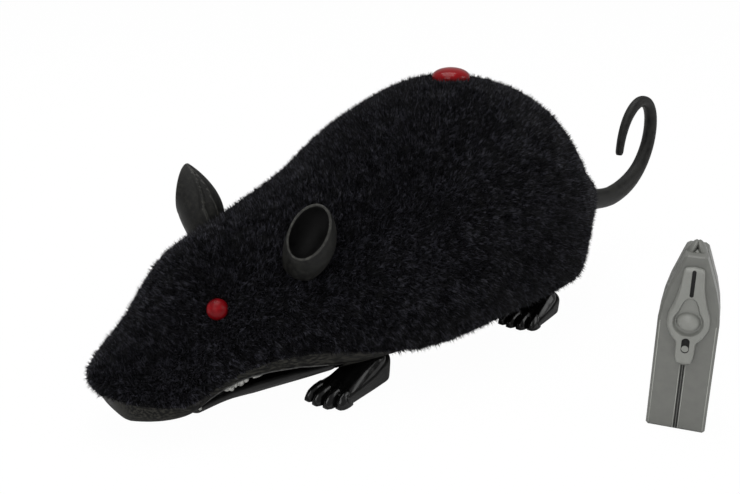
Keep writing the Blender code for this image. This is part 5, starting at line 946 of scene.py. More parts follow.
@dataclass
class BareSkin:
    """Smooth skin over the plastic that the plush leaves bare, above and below the shell's edge."""

    form: BodyForm
    edges: Edges
    depth: float = 0.00155
    thickness: float = 0.00025
    seam: float = 0.0005
    band: float = 0.0058
    chin: float = 0.0018
    chin_shares: tuple = (0, 0.03, 0.09, 0.13)
    overlap: float = 0.002
    side_overlap: float = 0.0025

    def _band(self, share: np.ndarray, low: np.ndarray, high: np.ndarray, columns: int) -> list:
        """Sheets between two rows of angles on the right side and their mirrored twins.

        Args:
            share: Shares of the length, one for each row.
            low: Lower angle of each row, on the right side.
            high: Upper angle of each row.
            columns: Points across.

        Returns:
            One shape for each side.
        """
        grid = share[:, None] * np.ones(columns)
        angle = low[:, None] + (high - low)[:, None] * np.linspace(0, 1, columns)
        shift = np.array(RAT_AT)
        shapes = []
        for turned in (angle, math.pi - angle):
            outer, normal = self.form.surface(grid, turned, self.depth)
            hang = np.clip(-np.sin(turned), 0, 1) * np.interp(grid, self.chin_shares, (0, 1, 1, 0))
            outer = outer + shift - np.array([0, 0, self.chin]) * hang[..., None]
            shapes.append(sheet(outer, outer - normal * self.thickness))
        return shapes

    def build(self) -> list:
        """Build the muzzle, the strip of the shell and the strip of the base."""
        start = self.edges.mouth_stations[0]
        nose = np.linspace(0.002, start, 24)
        behind = np.linspace(start, 0.985, 150)
        top = self.form.angle_at(nose, self.edges.hem(nose) + self.overlap)
        shapes = self._band(nose, np.full_like(nose, -math.pi / 2), top, 22)
        low = self.form.angle_at(behind, self.edges.split(behind))
        high = self.form.angle_at(behind, self.edges.hem(behind) + self.side_overlap)
        shapes += self._band(behind, low, np.maximum(high, low + 0.02), 8)
        strip = joined("shell_strip", shapes)
        rear = np.linspace(0.30, 0.975, 110)
        high = self.form.angle_at(rear, self.edges.split(rear) - self.seam)
        belly = self.form.lines(rear)[1]
        low = self.form.angle_at(rear, np.maximum(self.edges.split(rear) - self.band, belly + 0.0012))
        base = joined("base_strip", self._band(rear, np.minimum(low, high - 0.02), high, 8))
        for piece in (strip, base):
            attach(piece, "rat_body")
            dress(piece, SHELL)
        return [strip, base]


@dataclass
class Mouth:
    """Lower jaw plate, the lip along the mouth's upper edge and small worn teeth below it."""

    form: BodyForm
    edges: Edges
    depth: float = 0.0019
    jaw_depth: float = 0.0012
    hang: float = 0.0022
    plate: float = 0.0020
    jaw_span: tuple = (0.108, 0.285)
    lip_span: tuple = (0.101, 0.27)
    lip_radius: float = 0.00028
    lip_rise: float = 0.0003
    tooth_inset: float = 0.0022
    teeth: tuple = ((0.106, 0.0006, 0.0008), (0.1385, 0.0010, 0.0008), (0.1440, 0.0008, 0.0012),
                    (0.1490, 0.0007, 0.0009), (0.1560, 0.0012, 0.0011), (0.1625, 0.0010, 0.0008),
                    (0.1780, 0.0018, 0.0004))

    def build_jaw(self) -> bpy.types.Object:
        """Channel of the body form from its top edge on one side to that on the other."""
        share = np.linspace(*self.jaw_span, 40)
        columns = 41
        top = np.interp(share, self.edges.jaw_stations, self.edges.jaw_shares) * self.form.height
        low = self.form.angle_at(share, top)
        angle = low[:, None] + (-math.pi - 2 * low)[:, None] * np.linspace(0, 1, columns)
        grid = share[:, None] * np.ones(columns)
        outer, normal = self.form.surface(grid, angle, self.jaw_depth)
        hang = np.clip(-np.sin(angle), 0, 1) * np.clip((self.jaw_span[1] - grid) / 0.10, 0, 1)
        shift = np.array(RAT_AT) - np.array([0, 0, self.hang]) * hang[..., None]
        made = joined("jaw_plate", [sheet(outer + shift, outer + shift - normal * self.plate)])
        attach(made, "rat_body")
        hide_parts("lower_jaw")
        return dress(made, SATIN)

    def build_lip(self) -> bpy.types.Object:
        """Fine rolled edge along the mouth, on both sides, in the painted highlight colour."""
        share = np.linspace(*self.lip_span, 60)
        angle = self.form.angle_at(share, self.edges.split(share))
        shapes = []
        for turned in (angle, math.pi - angle):
            path = self.form.surface(share, turned, self.depth - self.lip_rise)[0]
            shapes.append(tube(path + np.array(RAT_AT), np.full(len(path), self.lip_radius), 8))
        made = joined("lip", shapes)
        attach(made, "rat_body")
        return dress(made, LIP)

    def build_teeth(self) -> bpy.types.Object:
        """Rounded pegs under the lip: ellipsoids as long as named along the lip."""
        shapes = []
        for share, length, radius in self.teeth:
            height = float(self.edges.split(np.array([share]))[0]) - radius * 0.7
            for side in (-1, 1):
                centre = self.form.side(share, height, side) - Vector((0, side * self.tooth_inset, 0))
                frame = Matrix.Translation(centre) @ Matrix.Diagonal((length, radius, radius, 1.0))
                shapes.append(lathe(ball_profile(12), 16, frame))
        made = joined("teeth", shapes)
        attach(made, "rat_body")
        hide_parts("upper_teeth")
        return dress(made, ENAMEL)

    def build(self) -> list:
        """Build the jaw plate, the lip and the teeth."""
        return [self.build_jaw(), self.build_lip(), self.build_teeth()]


def ball_profile(steps: int) -> np.ndarray:
    """Profile of a unit ball, from the top of its axis to the foot."""
    turn = np.linspace(0, math.pi, steps + 1)
    return np.stack([np.sin(turn), np.cos(turn)], -1)


# Ears, eyes, dome and tail

@dataclass(frozen=True)
class EarPlace:
    """How one ear stands on the head: its bowl's aim, roll, centre and half width, and its stem's end."""

    aim: tuple
    roll: float
    centre: tuple
    half_width: float
    stem_end: tuple


NEAR_EAR = EarPlace((-0.90, -0.42, 0.14), math.radians(31), (-0.0600, -0.0345, 0.0610), 0.0060,
                    (-0.0565, -0.0250, 0.0470))
FAR_EAR = EarPlace((-0.58, 0.80, 0.15), math.radians(4), (-0.0612, 0.0345, 0.0585), 0.0064,
                   (-0.0590, 0.0250, 0.0440))


@dataclass
class Ear:
    """Rubber ear: a bowl with a rounded rim whose outside draws in to a stem that enters the head.

    Ring t of the outside is centre(t) + a cos(f) across + b sin(f) (cos(k) up - sin(k) facing), where
    k grows with t until the ring lies across the stem.
    """

    side: int
    half_height: float = 0.0094
    wall: float = 0.0008
    bowl: float = 0.0064
    bowl_drop: float = 0.0012
    stem: float = 0.0056
    bulge: float = 0.0015
    belly: float = 0.0026
    ridge: float = 0.0010
    sides: int = 96

    def place(self) -> EarPlace:
        """Place of this side's ear."""
        return NEAR_EAR if self.side < 0 else FAR_EAR

    def frame(self) -> tuple:
        """Centre, across, up and facing vectors, in the frame."""
        place = self.place()
        facing = unit(np.array(place.aim))
        up = unit(np.array([0, 0, 1.0]) - facing * facing[2])
        across = np.cross(up, facing)
        leaned = up * math.cos(place.roll) + across * math.sin(place.roll)
        centre = np.array(place.centre) + np.array(RAT_AT)
        return centre, np.cross(leaned, facing), leaned, facing

    def _inside(self, cos: np.ndarray, sin: np.ndarray) -> tuple:
        """Rings of the bowl from its bottom outwards, and rings over the rim."""
        centre, across, up, facing = self.frame()
        half_width, half = self.place().half_width, self.wall / 2
        inner = np.linspace(math.pi / 2, 0, 16)[1:][:, None, None]
        bowl = (centre - facing * self.bowl * np.sin(inner) - up * self.bowl_drop * np.sin(inner)
                + np.cos(inner) * ((half_width - self.wall) * cos * across
                                   + (self.half_height - self.wall) * sin * up))
        roll = np.linspace(math.pi, 0, 9)[1:-1][:, None, None]
        grow = -half + half * np.cos(roll)
        rim = (centre + facing * half * np.sin(roll)
               + (half_width + grow) * cos * across + (self.half_height + grow) * sin * up)
        return bowl, rim

    def _outside(self, turn: np.ndarray, stem_end: np.ndarray) -> tuple:
        """Rings from the rim to the stem's end, and whether each of their faces is on a painted highlight
        line.

        Args:
            turn: Angles around.
            stem_end: Point where the stem ends.

        Returns:
            The rings, and an array of (rings - 1, sides) that is true on the two painted highlight lines.
        """
        centre, across, up, facing = self.frame()
        half_width = self.place().half_width
        cos, sin = np.cos(turn)[None, :, None], np.sin(turn)[None, :, None]
        t = np.linspace(0, 1, 40)[:, None, None]
        bend = t ** 0.9 * math.radians(72)
        swell = self.bulge * np.sin(math.pi * t)
        a = self.stem + (half_width - self.stem) * (1 - t) + swell
        b = self.stem + (self.half_height - self.stem) * (1 - t) ** 0.8 + swell * 0.3
        away = np.sin(turn - math.pi / 2)[None, :, None]
        spread = np.clip(t * 2.2, 0, 1) ** 0.7
        line = (np.exp(-((away + 0.42 * spread) / 0.075) ** 2)
                + np.exp(-((away + 0.80 * spread) / 0.055) ** 2))
        line = line * (sin > 0) * (self.side > 0)
        fade = np.sin(math.pi * np.clip(t * 1.15, 0, 1)) * 1.6
        raised = 1 + self.ridge / self.half_height * line * fade
        middle = centre + (stem_end - centre) * t ** 1.1 - facing * self.belly * np.sin(math.pi * t)
        rings = middle + raised * (a * cos * across
                                   + b * sin * (np.cos(bend) * up - np.sin(bend) * facing))
        return rings, (line[:-1, :, 0] > 0.5) & (t[:-1, 0, 0] < 0.85)[:, None]

    def build(self) -> bpy.types.Object:
        """Build the ear as one closed surface from the bowl's bottom over the rim to the stem's end."""
        centre, _, up, facing = self.frame()
        stem_end = np.array(self.place().stem_end) + np.array(RAT_AT)
        turn = np.linspace(0, 2 * math.pi, self.sides, endpoint=False)
        bowl, rim = self._inside(np.cos(turn)[None, :, None], np.sin(turn)[None, :, None])
        outside, worn = self._outside(turn, stem_end)
        rings = np.concatenate([bowl, rim, outside])
        pole = centre - facing * self.bowl - up * self.bowl_drop
        word = "left" if self.side < 0 else "right"
        made = joined(f"rubber_ear_{word}", [drawn_together(rings, pole, stem_end)])
        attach(made, "rat_body")
        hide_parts(f"ear_{word}")
        dress(made, EAR_RUBBER)
        for finish in (BOWL_PAINTED_SHADE, RIM_PAINTED_HIGHLIGHT):
            made.data.materials.append(finish.build())
        numbers = np.zeros((len(rings) - 1, self.sides), np.int32)
        # Painted shade: the bowl takes the darker copy of the rubber, as do the faces closing its bottom.
        numbers[:len(bowl)] = 1
        # Painted highlight: the rim takes the lighter copy of the rubber.
        numbers[len(bowl):len(bowl) + len(rim)] = 2
        # Painted highlight: the far ear's two raised lines take the lighter copy as well.
        numbers[len(bowl) + len(rim):][worn] = 2
        caps = np.array([1] * self.sides + [0] * self.sides, np.int32)
        made.data.polygons.foreach_set("material_index", np.concatenate([numbers.reshape(-1), caps]))
        return made


@dataclass
class Eye:
    """Red bead pressed into the head."""

    form: BodyForm
    side: int
    share: float = 0.141
    height: float = 0.0385
    facing: tuple = (-0.42, 1.0, 0.10)
    radius: float = 0.0032
    proud: float = 0.0021
    clearance: float = 0.0034
    far_shift_share: float = 0.008
    far_drop: float = 0.0052
    far_proud_share: float = 0.45

    def centre(self) -> Vector:
        """Centre of the bead, in the frame: the far one sits lower, further back and deeper."""
        out = Vector((self.facing[0], self.side * self.facing[1], self.facing[2])).normalized()
        share, height, proud = self.share, self.height, self.proud
        if self.side > 0:
            share += self.far_shift_share
            height -= self.far_drop
            proud *= self.far_proud_share
        return self.form.side(share, height, self.side) + out * (proud - self.radius)

    def build(self) -> bpy.types.Object:
        """Build the bead as a slightly uneven ball."""
        word = "left" if self.side < 0 else "right"
        place = Matrix.Translation(self.centre()) @ Matrix.Scale(self.radius, 4)
        made = joined(f"bead_{word}", [lathe(ball_profile(24), 48, place)])
        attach(made, "rat_body")
        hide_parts(f"eye_{word}")
        return dress(made, BEAD)


@dataclass
class Dome:
    """Red receiver window: a quarter of an ellipse turned about its axis, on a collar."""

    form: BodyForm
    share: float = 0.629
    radius: float = 0.0068
    height: float = 0.0032
    collar: float = 0.0030
    clearance: float = 0.0074

    def build(self) -> bpy.types.Object:
        """Build the window as one closed turned shape."""
        turn = np.linspace(0, math.pi / 2, 20)
        arc = np.stack([self.radius * np.sin(turn), self.height * np.cos(turn)], -1)
        foot = np.array([(self.radius, -self.collar * 0.5), (self.radius, -self.collar),
                         (self.radius * 0.5, -self.collar), (0, -self.collar)])
        place = Matrix.Translation(self.form.top(self.share))
        made = joined("receiver_window", [lathe(np.concatenate([arc, foot]), 72, place)])
        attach(made, "rat_body")
        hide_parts("receiver_dome")
        return dress(made, RED)


@dataclass
class Tail:
    """Rubber tail: a tapering tube along a smooth curl, its end cut blunt."""

    form: BodyForm
    root_height: float = 0.4131
    points: tuple = (
        (-0.0150, 0.0000), (-0.0092, -0.0038), (-0.0034, -0.0067), (0.0030, -0.0087), (0.0092, -0.0099),
        (0.0168, -0.0106), (0.0232, -0.0096), (0.0288, -0.0078), (0.0336, -0.0052), (0.0376, -0.0018),
        (0.0406, 0.0022), (0.0428, 0.0066), (0.0442, 0.0114), (0.0447, 0.0164), (0.0442, 0.0214),
        (0.0425, 0.0258), (0.0393, 0.0290), (0.0350, 0.0300), (0.0309, 0.0284), (0.0276, 0.0254),
        (0.0252, 0.0216), (0.0236, 0.0172), (0.0227, 0.0126), (0.0223, 0.0074))
    girth: tuple = ((0.0, 0.0042), (0.12, 0.0045), (0.28, 0.0040), (0.42, 0.0032), (0.60, 0.0028),
                    (0.80, 0.0023), (1.0, 0.0017))
    root_drop: float = 0.0012
    root_shares: tuple = (0.85, 0.95)
    tip_shares: tuple = (0.97, 0.9, 0.72)

    def path(self) -> np.ndarray:
        """Centre line in the frame, a smooth curve through the points."""
        spots = np.array(self.points)
        fine = np.linspace(0, len(spots) - 1, 220)
        lines = [smooth_curve(np.arange(len(spots)), spots[:, k], fine) for k in (0, 1)]
        kernel = np.exp(-np.linspace(-2, 2, 17) ** 2)
        kernel /= kernel.sum()
        lines = [np.convolve(np.pad(line, 8, mode="reflect", reflect_type="odd"), kernel, "valid")
                 for line in lines]
        base = np.array(RAT_AT) + np.array([self.form.length / 2, 0, self.form.height * self.root_height])
        drop = self.root_drop * np.clip(1 - fine / fine[-1] / 0.35, 0, 1)
        return base + np.stack([lines[0], np.zeros_like(fine), lines[1] - drop], -1)

    def build(self) -> bpy.types.Object:
        """Build the tail, with rings that close its tip within half a millimetre."""
        path = self.path()
        along = np.linspace(0, 1, len(path))
        radii = smooth_curve(*np.array(self.girth).T, along)
        radii[-3:] *= np.array(self.tip_shares)
        radii[:2] *= np.array(self.root_shares)
        made = joined("rubber_tail", [tube(path, radii, 40, up=(0, 1, 0))])
        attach(made, "rat_body")
        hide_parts("tail")
        return dress(made, RUBBER)


# Paws

PAW_Y = -0.0290
REAR_PAW_SIZES = {"length": 0.0192, "height": 0.0102}


@dataclass
class Paw:
    """Paw with a satin flank, a glossy back with raised tendons and four ridged claws.

    Its own axes are +X towards the heel and +Z up, with the toes' roots at x = 0. A section of the back
    is a half superellipse, raised along each tendon by a bell curve that fades towards the heel.
    """

    place: tuple
    side: int
    turn: float = math.radians(9)
    length: float = 0.0240
    width: float = 0.0156
    heel_share: float = 0.82
    tips: tuple = ((-0.0056, 0.0056), (-0.0060, 0.0019), (-0.0052, -0.0020), (-0.0030, -0.0054))
    roots: tuple = (0.0052, 0.0018, -0.0018, -0.0052)
    profile: tuple = ((0.0, 0.30), (0.12, 0.42), (0.3, 0.60), (0.5, 0.80), (0.74, 0.98), (0.93, 0.92),
                      (1.0, 0.72))
    flank: tuple = ((0.0, 0.30), (0.3, 0.37), (0.6, 0.46), (0.85, 0.66), (1.0, 0.82))
    height: float = 0.0125
    lift: float = 0.0006
    tendon_width: float = 0.0011
    tendon_height: float = 0.0009
    claw_root: float = 0.0022
    claw_half: float = 0.0022
    claw_height: float = 0.0050
    claw_lift: float = 0.0003

    def frame(self) -> Matrix:
        """Matrix from the paw's own axes to the frame."""
        x, y = self.place
        return (Matrix.Translation(RAT_AT) @ Matrix.Diagonal((1, -self.side, 1, 1))
                @ Matrix.Translation((x, y, self.lift)) @ Matrix.Rotation(self.turn, 4, "Z"))

    def _half_width(self, u: np.ndarray) -> np.ndarray:
        """Half width at shares from the toes to the heel, rounded off at both ends."""
        narrow = 1 - (1 - self.heel_share) * u
        heel = np.clip(1 - (np.clip(u - 0.80, 0, 1) / 0.20) ** 3, 0, 1) ** 0.4
        return self.width / 2 * narrow * np.maximum(heel, 0.02)

    def _flank(self) -> tuple:
        """Upright wall with a rounded upper edge, flat below."""
        heel = np.sin(np.linspace(0, math.pi / 2, 16)[1:])
        u = np.concatenate([np.linspace(0, 0.8, 26), 0.8 + 0.2 * heel])
        top = np.interp(u, *np.array(self.flank).T) * self.height
        around = np.linspace(0, 2 * math.pi, 48, endpoint=False)
        cos, sin = np.cos(around), np.sin(around)
        y = np.sign(cos) * np.abs(cos) ** 0.35
        z = (np.sign(sin) * np.abs(sin) ** 0.35 + 1) / 2
        slope = 0.10 * (1 - z)
        half = self._half_width(u)[:, None]
        points = np.stack([np.broadcast_to((u * self.length)[:, None], (len(u), 48)),
                           y * half * (1 - slope), z * top[:, None]], -1)
        first = np.array([u[0] * self.length, 0, top[0] / 2])
        last = np.array([u[-1] * self.length, 0, top[-1] / 2])
        return drawn_together(points, first, last)

    def _back(self) -> tuple:
        """Glossy back with its tendons."""
        heel = np.sin(np.linspace(0, math.pi / 2, 14)[1:])
        u = np.concatenate([np.linspace(-0.02, 0.8, 40), 0.8 + 0.17 * heel])
        top = np.interp(u, *np.array(self.profile).T) * self.height
        low = np.interp(u, *np.array(self.flank).T) * self.height * 0.80
        half = self._half_width(np.clip(u + 0.03, 0, 1)) - 0.0010
        half = np.maximum(half, 0.0003)
        around = np.linspace(0, 2 * math.pi, 96, endpoint=False)
        cos, sin = np.cos(around)[None, :], np.sin(around)[None, :]
        y = np.sign(cos) * np.abs(cos) ** 0.85 * half[:, None]
        up = np.abs(sin) ** 1.05
        rise = (top - low)[:, None] * np.where(sin > 0, up, -0.3 * up)
        ridge = np.zeros_like(y)
        for root in self.roots:
            line = root * (1 - 0.55 * np.clip(u, 0, 1))[:, None]
            ridge += np.exp(-((y - line) / self.tendon_width) ** 2)
        fade = np.clip(1 - u / 0.5, 0, 1)[:, None]
        z = low[:, None] + rise + np.where(sin > 0, ridge * fade * self.tendon_height * up, 0)
        points = np.stack([np.broadcast_to((u * self.length)[:, None], y.shape), y, z], -1)
        first = np.array([u[0] * self.length, 0, float(low[0] + top[0]) / 2])
        last = np.array([u[-1] * self.length, 0, float(low[-1] + top[-1]) / 2])
        return drawn_together(points, first, last)

    def _claw(self, root: float, tip: tuple) -> tuple:
        """Long claw: sections with a ridged top that narrow and bow down to the tip."""
        t = np.linspace(0, 1, 22)
        x = self.claw_root + (tip[0] - self.claw_root) * t
        y = root + (tip[1] - root) * t
        half = self.claw_half * np.interp(t, (0, 0.25, 0.6, 0.85, 1.0), (0.9, 1.0, 1.0, 0.84, 0.52))
        high = self.claw_height * np.interp(t, (0, 0.2, 0.5, 0.8, 1.0), (0.9, 1.0, 0.92, 0.74, 0.40))
        around = np.linspace(0, 2 * math.pi, 32, endpoint=False)
        cos, sin = np.cos(around)[None, :], np.sin(around)[None, :]
        across = np.sign(cos) * np.abs(cos) ** 1.15 * half[:, None]
        rise = np.where(sin > 0, np.abs(sin) ** 1.25 * high[:, None], -np.abs(sin) ** 0.5 * self.claw_lift)
        points = np.stack([np.broadcast_to(x[:, None], across.shape), y[:, None] + across,
                           self.claw_lift + rise], -1)
        return drawn_together(points, points[0].mean(0), points[-1].mean(0))

    def build(self, word: str) -> list:
        """Build the flank, and the back with its claws, and put them in the frame.

        Args:
            word: Name of the CAD node that they stand for.

        Returns:
            The two new objects.
        """
        place = self.frame()
        made = []
        claws = [self._claw(root, tip) for root, tip in zip(self.roots, self.tips)]
        shapes = {"flank": [self._flank()], "back": [self._back(), *claws]}
        for name, parts in shapes.items():
            moved = [outwards(transformed(points, place), faces) for points, faces in parts]
            piece = joined(f"{word}_{name}", moved)
            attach(piece, "rat_body")
            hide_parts(word)
            made.append(dress(piece, SATIN if name == "flank" else GLOSS))
        return made


# Remote control

@dataclass
class RemoteFront:
    """Front of the remote: teardrop bezel, ball rocker, slot and window in painted shade, and the emitter's
    hood.

    Its own axes are +X to the right seen from the front, +Z up, and the front faces -Y. The bezel is a
    height field over rays from the ball's centre: it rises inside its outline by a smooth step, and falls
    again inside the teardrop dish round the ball.
    """

    width: float = 0.0170
    height: float = 0.0580
    depth: float = 0.0146
    gap: float = 0.0003
    bezel_height: float = 0.0015
    dish_depth: float = 0.0013
    dish_radius: float = 0.0044
    dish_point: float = 0.0078
    ball: tuple = (0.0034, 0.0029, 0.0028)
    ball_share: float = 0.615
    proud: float = 0.0020
    seat: float = 0.0008
    mark_thickness: float = 0.0004
    mark_rise: float = 0.00004
    slot_shares: tuple = (0.753, 0.893)
    window_shares: tuple = (0.452, 0.532)
    groove_share: float = 0.372
    groove_foot: float = 0.0004
    shoulder_share: float = 0.60
    hood_share: float = 0.895
    outline: tuple = ((0.0, 0.905), (0.165, 0.895), (0.20, 0.79), (0.275, 0.70), (0.345, 0.645),
                      (0.345, 0.585), (0.26, 0.53), (0.165, 0.502), (0.155, 0.42), (0.12, 0.388),
                      (0.0, 0.382))

    def frame(self) -> Matrix:
        """Matrix from the remote's own axes to the frame, read off the rocker's joint."""
        joint = JOINTS["remote_button_rock"]
        turn = math.atan2(joint["axis"][1], joint["axis"][0])
        rotation = Matrix.Rotation(turn, 4, "Z")
        place = Vector(joint["pos_m"]) - rotation @ Vector((0, self._ball_front(), 0))
        return Matrix.Translation((place[0], place[1], 0)) @ rotation

    def _reach(self, angle: np.ndarray) -> np.ndarray:
        """Distance from the ball's centre to the bezel's outline at angles from +X."""
        half = np.array(self.outline) * np.array([self.width, self.height])
        half = half - np.array([0, self.ball_height()])
        loop = np.concatenate([half, half[::-1][1:-1] * np.array([-1, 1])])
        fine = np.linspace(0, len(loop), 960, endpoint=False)
        first = np.floor(fine).astype(int)
        share = (fine - first)[:, None]
        dense = loop[first % len(loop)] * (1 - share) + loop[(first + 1) % len(loop)] * share
        kernel = np.hanning(41)[1:-1]
        kernel /= kernel.sum()
        wrapped = np.concatenate([dense[-19:], dense, dense[:19]])
        dense = np.stack([np.convolve(wrapped[:, k], kernel, "valid") for k in (0, 1)], -1)
        turn = np.arctan2(dense[:, 1], dense[:, 0])
        order = np.argsort(turn)
        return np.interp(angle, turn[order], np.linalg.norm(dense, axis=1)[order], period=2 * math.pi)

    def ball_height(self) -> float:
        """Height of the ball's centre."""
        return self.height * self.ball_share

    def _ball_front(self) -> float:
        """Y of the ball's centre, whose front stands proud of its seat on the case."""
        return -self.depth / 2 - self.gap - self.seat - self.proud + self.ball[1]

    def build_bezel(self) -> bpy.types.Object:
        """Bezel as rings from the middle outwards over the top, down the edge and back below."""
        angle = np.linspace(-math.pi, math.pi, 240, endpoint=False)
        angle = angle - 0.35 * np.sin(2 * angle + math.pi) * 0.5
        reach = self._reach(angle)
        steps = np.concatenate([np.linspace(0.06, 0.9, 56), 0.9 + 0.1 * np.linspace(0, 1, 18)[1:]])
        radius = steps[:, None] * reach
        inward = reach - radius
        rounded = np.clip(inward / 0.0013, 0, 1)
        top = self.bezel_height * np.sqrt(np.clip(1 - (1 - rounded) ** 2, 0, 1))
        pointed = np.clip(np.sin(angle), 0, 1) ** 9
        dish = self.dish_radius * (1 - pointed) + self.dish_point * pointed
        inside = np.clip((dish - radius) / 0.0008, 0, 1)
        top = top - self.dish_depth * inside * inside * (3 - 2 * inside)
        front = -self.depth / 2 - self.gap
        x, z = radius * np.cos(angle), radius * np.sin(angle) + self.ball_height()
        upper = np.stack([x, front - top, z], -1)
        lower = np.stack([x[::-1], np.full_like(x, front + self.mark_thickness), z[::-1]], -1)
        rings = np.concatenate([upper, lower])
        poles = np.array([[0, front - self.bezel_height + self.dish_depth, self.ball_height()],
                          [0, front + self.mark_thickness, self.ball_height()]])
        place = self.frame()
        made = joined("bezel", [drawn_together(transformed(rings, place), *transformed(poles, place))])
        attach(made, "remote")
        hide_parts("remote_bezel")
        return dress(made, BEZEL_GREY)

    def build_ball(self) -> bpy.types.Object:
        """Ball rocker with its two axle stubs, on the rocking body."""
        place = self.frame() @ Matrix.Translation((0, self._ball_front(), self.ball_height()))
        shapes = [lathe(ball_profile(28), 56, place @ Matrix.Diagonal((*self.ball, 1)))]
        for side in (-1, 1):
            path = np.array([(side * x, 0.0002, 0) for x in (0.0030, 0.0036, 0.0042)])
            shapes.append(tube(transformed(path, place), np.array([0.0006, 0.0006, 0.0005]), 16))
        made = joined("ball_rocker", shapes)
        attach(made, "remote_rocker")
        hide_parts("remote_button")
        return dress(made, BEZEL_GREY)

    def _pill(self, x: float, low: float, high: float, half: float, raised: float) -> tuple:
        """Thin upright plate with round ends, lying on the front.

        Args:
            x: Place across.
            low: Height of its foot.
            high: Height of its top.
            half: Half of its width.
            raised: Distance of its face from the case's front.

        Returns:
            The shape in the frame.
        """
        turn = np.linspace(0, 2 * math.pi, 48, endpoint=False)
        mid = np.where(np.sin(turn) >= 0, high - half, low + half)
        ring = np.stack([x + half * np.cos(turn), np.zeros_like(turn), mid + half * np.sin(turn)], -1)
        front = -self.depth / 2 - raised
        inwards = np.array([0, self.mark_thickness, 0])
        face = ring + np.array([0, front, 0])
        centre = np.array([x, front, (low + high) / 2])
        place = self.frame()
        return drawn_together(transformed(np.stack([face, face + inwards]), place),
                              *transformed(np.stack([centre, centre + inwards]), place))

    def build_marks(self) -> list:
        """Slot above the ball, the knob's window and the groove's two lines in painted shade, and painted
        highlight lines beside the groove and along the case's edges.
        """
        raised = self.gap + self.bezel_height + self.mark_rise
        # Painted shade: dark plates in the slot, the knob's window and the groove.
        dark = [self._pill(0, low * self.height, high * self.height, half, raised)
                for (low, high), half in ((self.slot_shares, 0.00055), (self.window_shares, 0.00112))]
        groove = (self.groove_foot, self.groove_share * self.height)
        dark += [self._pill(side * 0.00032, *groove, 0.00012, 0.00003) for side in (-1, 1)]
        openings = joined("remote_openings", dark)
        # Painted highlight: light lines on the groove's lips and along the case's edges.
        light = [self._pill(side * 0.00078, *groove, 0.00013, 0.00012) for side in (-1, 1)]
        edge = (0.0009, self.shoulder_share * self.height)
        light += [self._pill(side * (self.width / 2 - 0.0008), *edge, 0.00013, 0.00008) for side in (-1, 1)]
        edges = joined("remote_edges", light)
        for piece, finish in ((openings, SHADE), (edges, PAINTED_HIGHLIGHT_GREY)):
            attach(piece, "remote")
            dress(piece, finish)
        return [openings, edges]

    def _egg(self, spot: tuple, radii: tuple, steps: int, sides: int, tilt: float = 0.0) -> tuple:
        """Ellipsoid in the remote's own axes.

        Args:
            spot: Its centre, above the hood's foot.
            radii: Its three half axes.
            steps: Points from pole to pole.
            sides: Points around.
            tilt: Turn about the axis from front to back.

        Returns:
            The shape in the frame.
        """
        x, y, rise = spot
        place = Matrix.Translation((x, y, self.height * self.hood_share + rise))
        turned = Matrix.Rotation(tilt, 4, "Y") @ Matrix.Diagonal((*radii, 1))
        return lathe(ball_profile(steps), sides, self.frame() @ place @ turned)

    def build_hood(self) -> list:
        """Emitter hood: two leaves that meet at the tip, an opening in painted shade and a lens between
        them.
        """
        leaves = [self._egg((side * 0.00165, -0.0006, 0.0030), (0.00115, 0.0034, 0.0036), 24, 40,
                            side * math.radians(-24)) for side in (-1, 1)]
        hood = joined("hood_leaves", leaves)
        shade = joined("hood_opening", [self._egg((0, -0.0012, 0.0012), (0.0014, 0.0022, 0.0021), 16, 28)])
        lens = joined("hood_lens", [self._egg((0, -0.0024, 0.0030), (0.0008, 0.0014, 0.0010), 16, 28)])
        for piece, finish in ((hood, REMOTE_GREY), (shade, SHADE), (lens, BEZEL_GREY)):
            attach(piece, "remote")
            dress(piece, finish)
        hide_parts("remote_led_hood")
        return [hood, shade, lens]

    def build(self) -> list:
        """Build the bezel, the ball, the openings and the hood."""
        return [self.build_bezel(), self.build_ball(), *self.build_marks(), *self.build_hood()]


# Studio

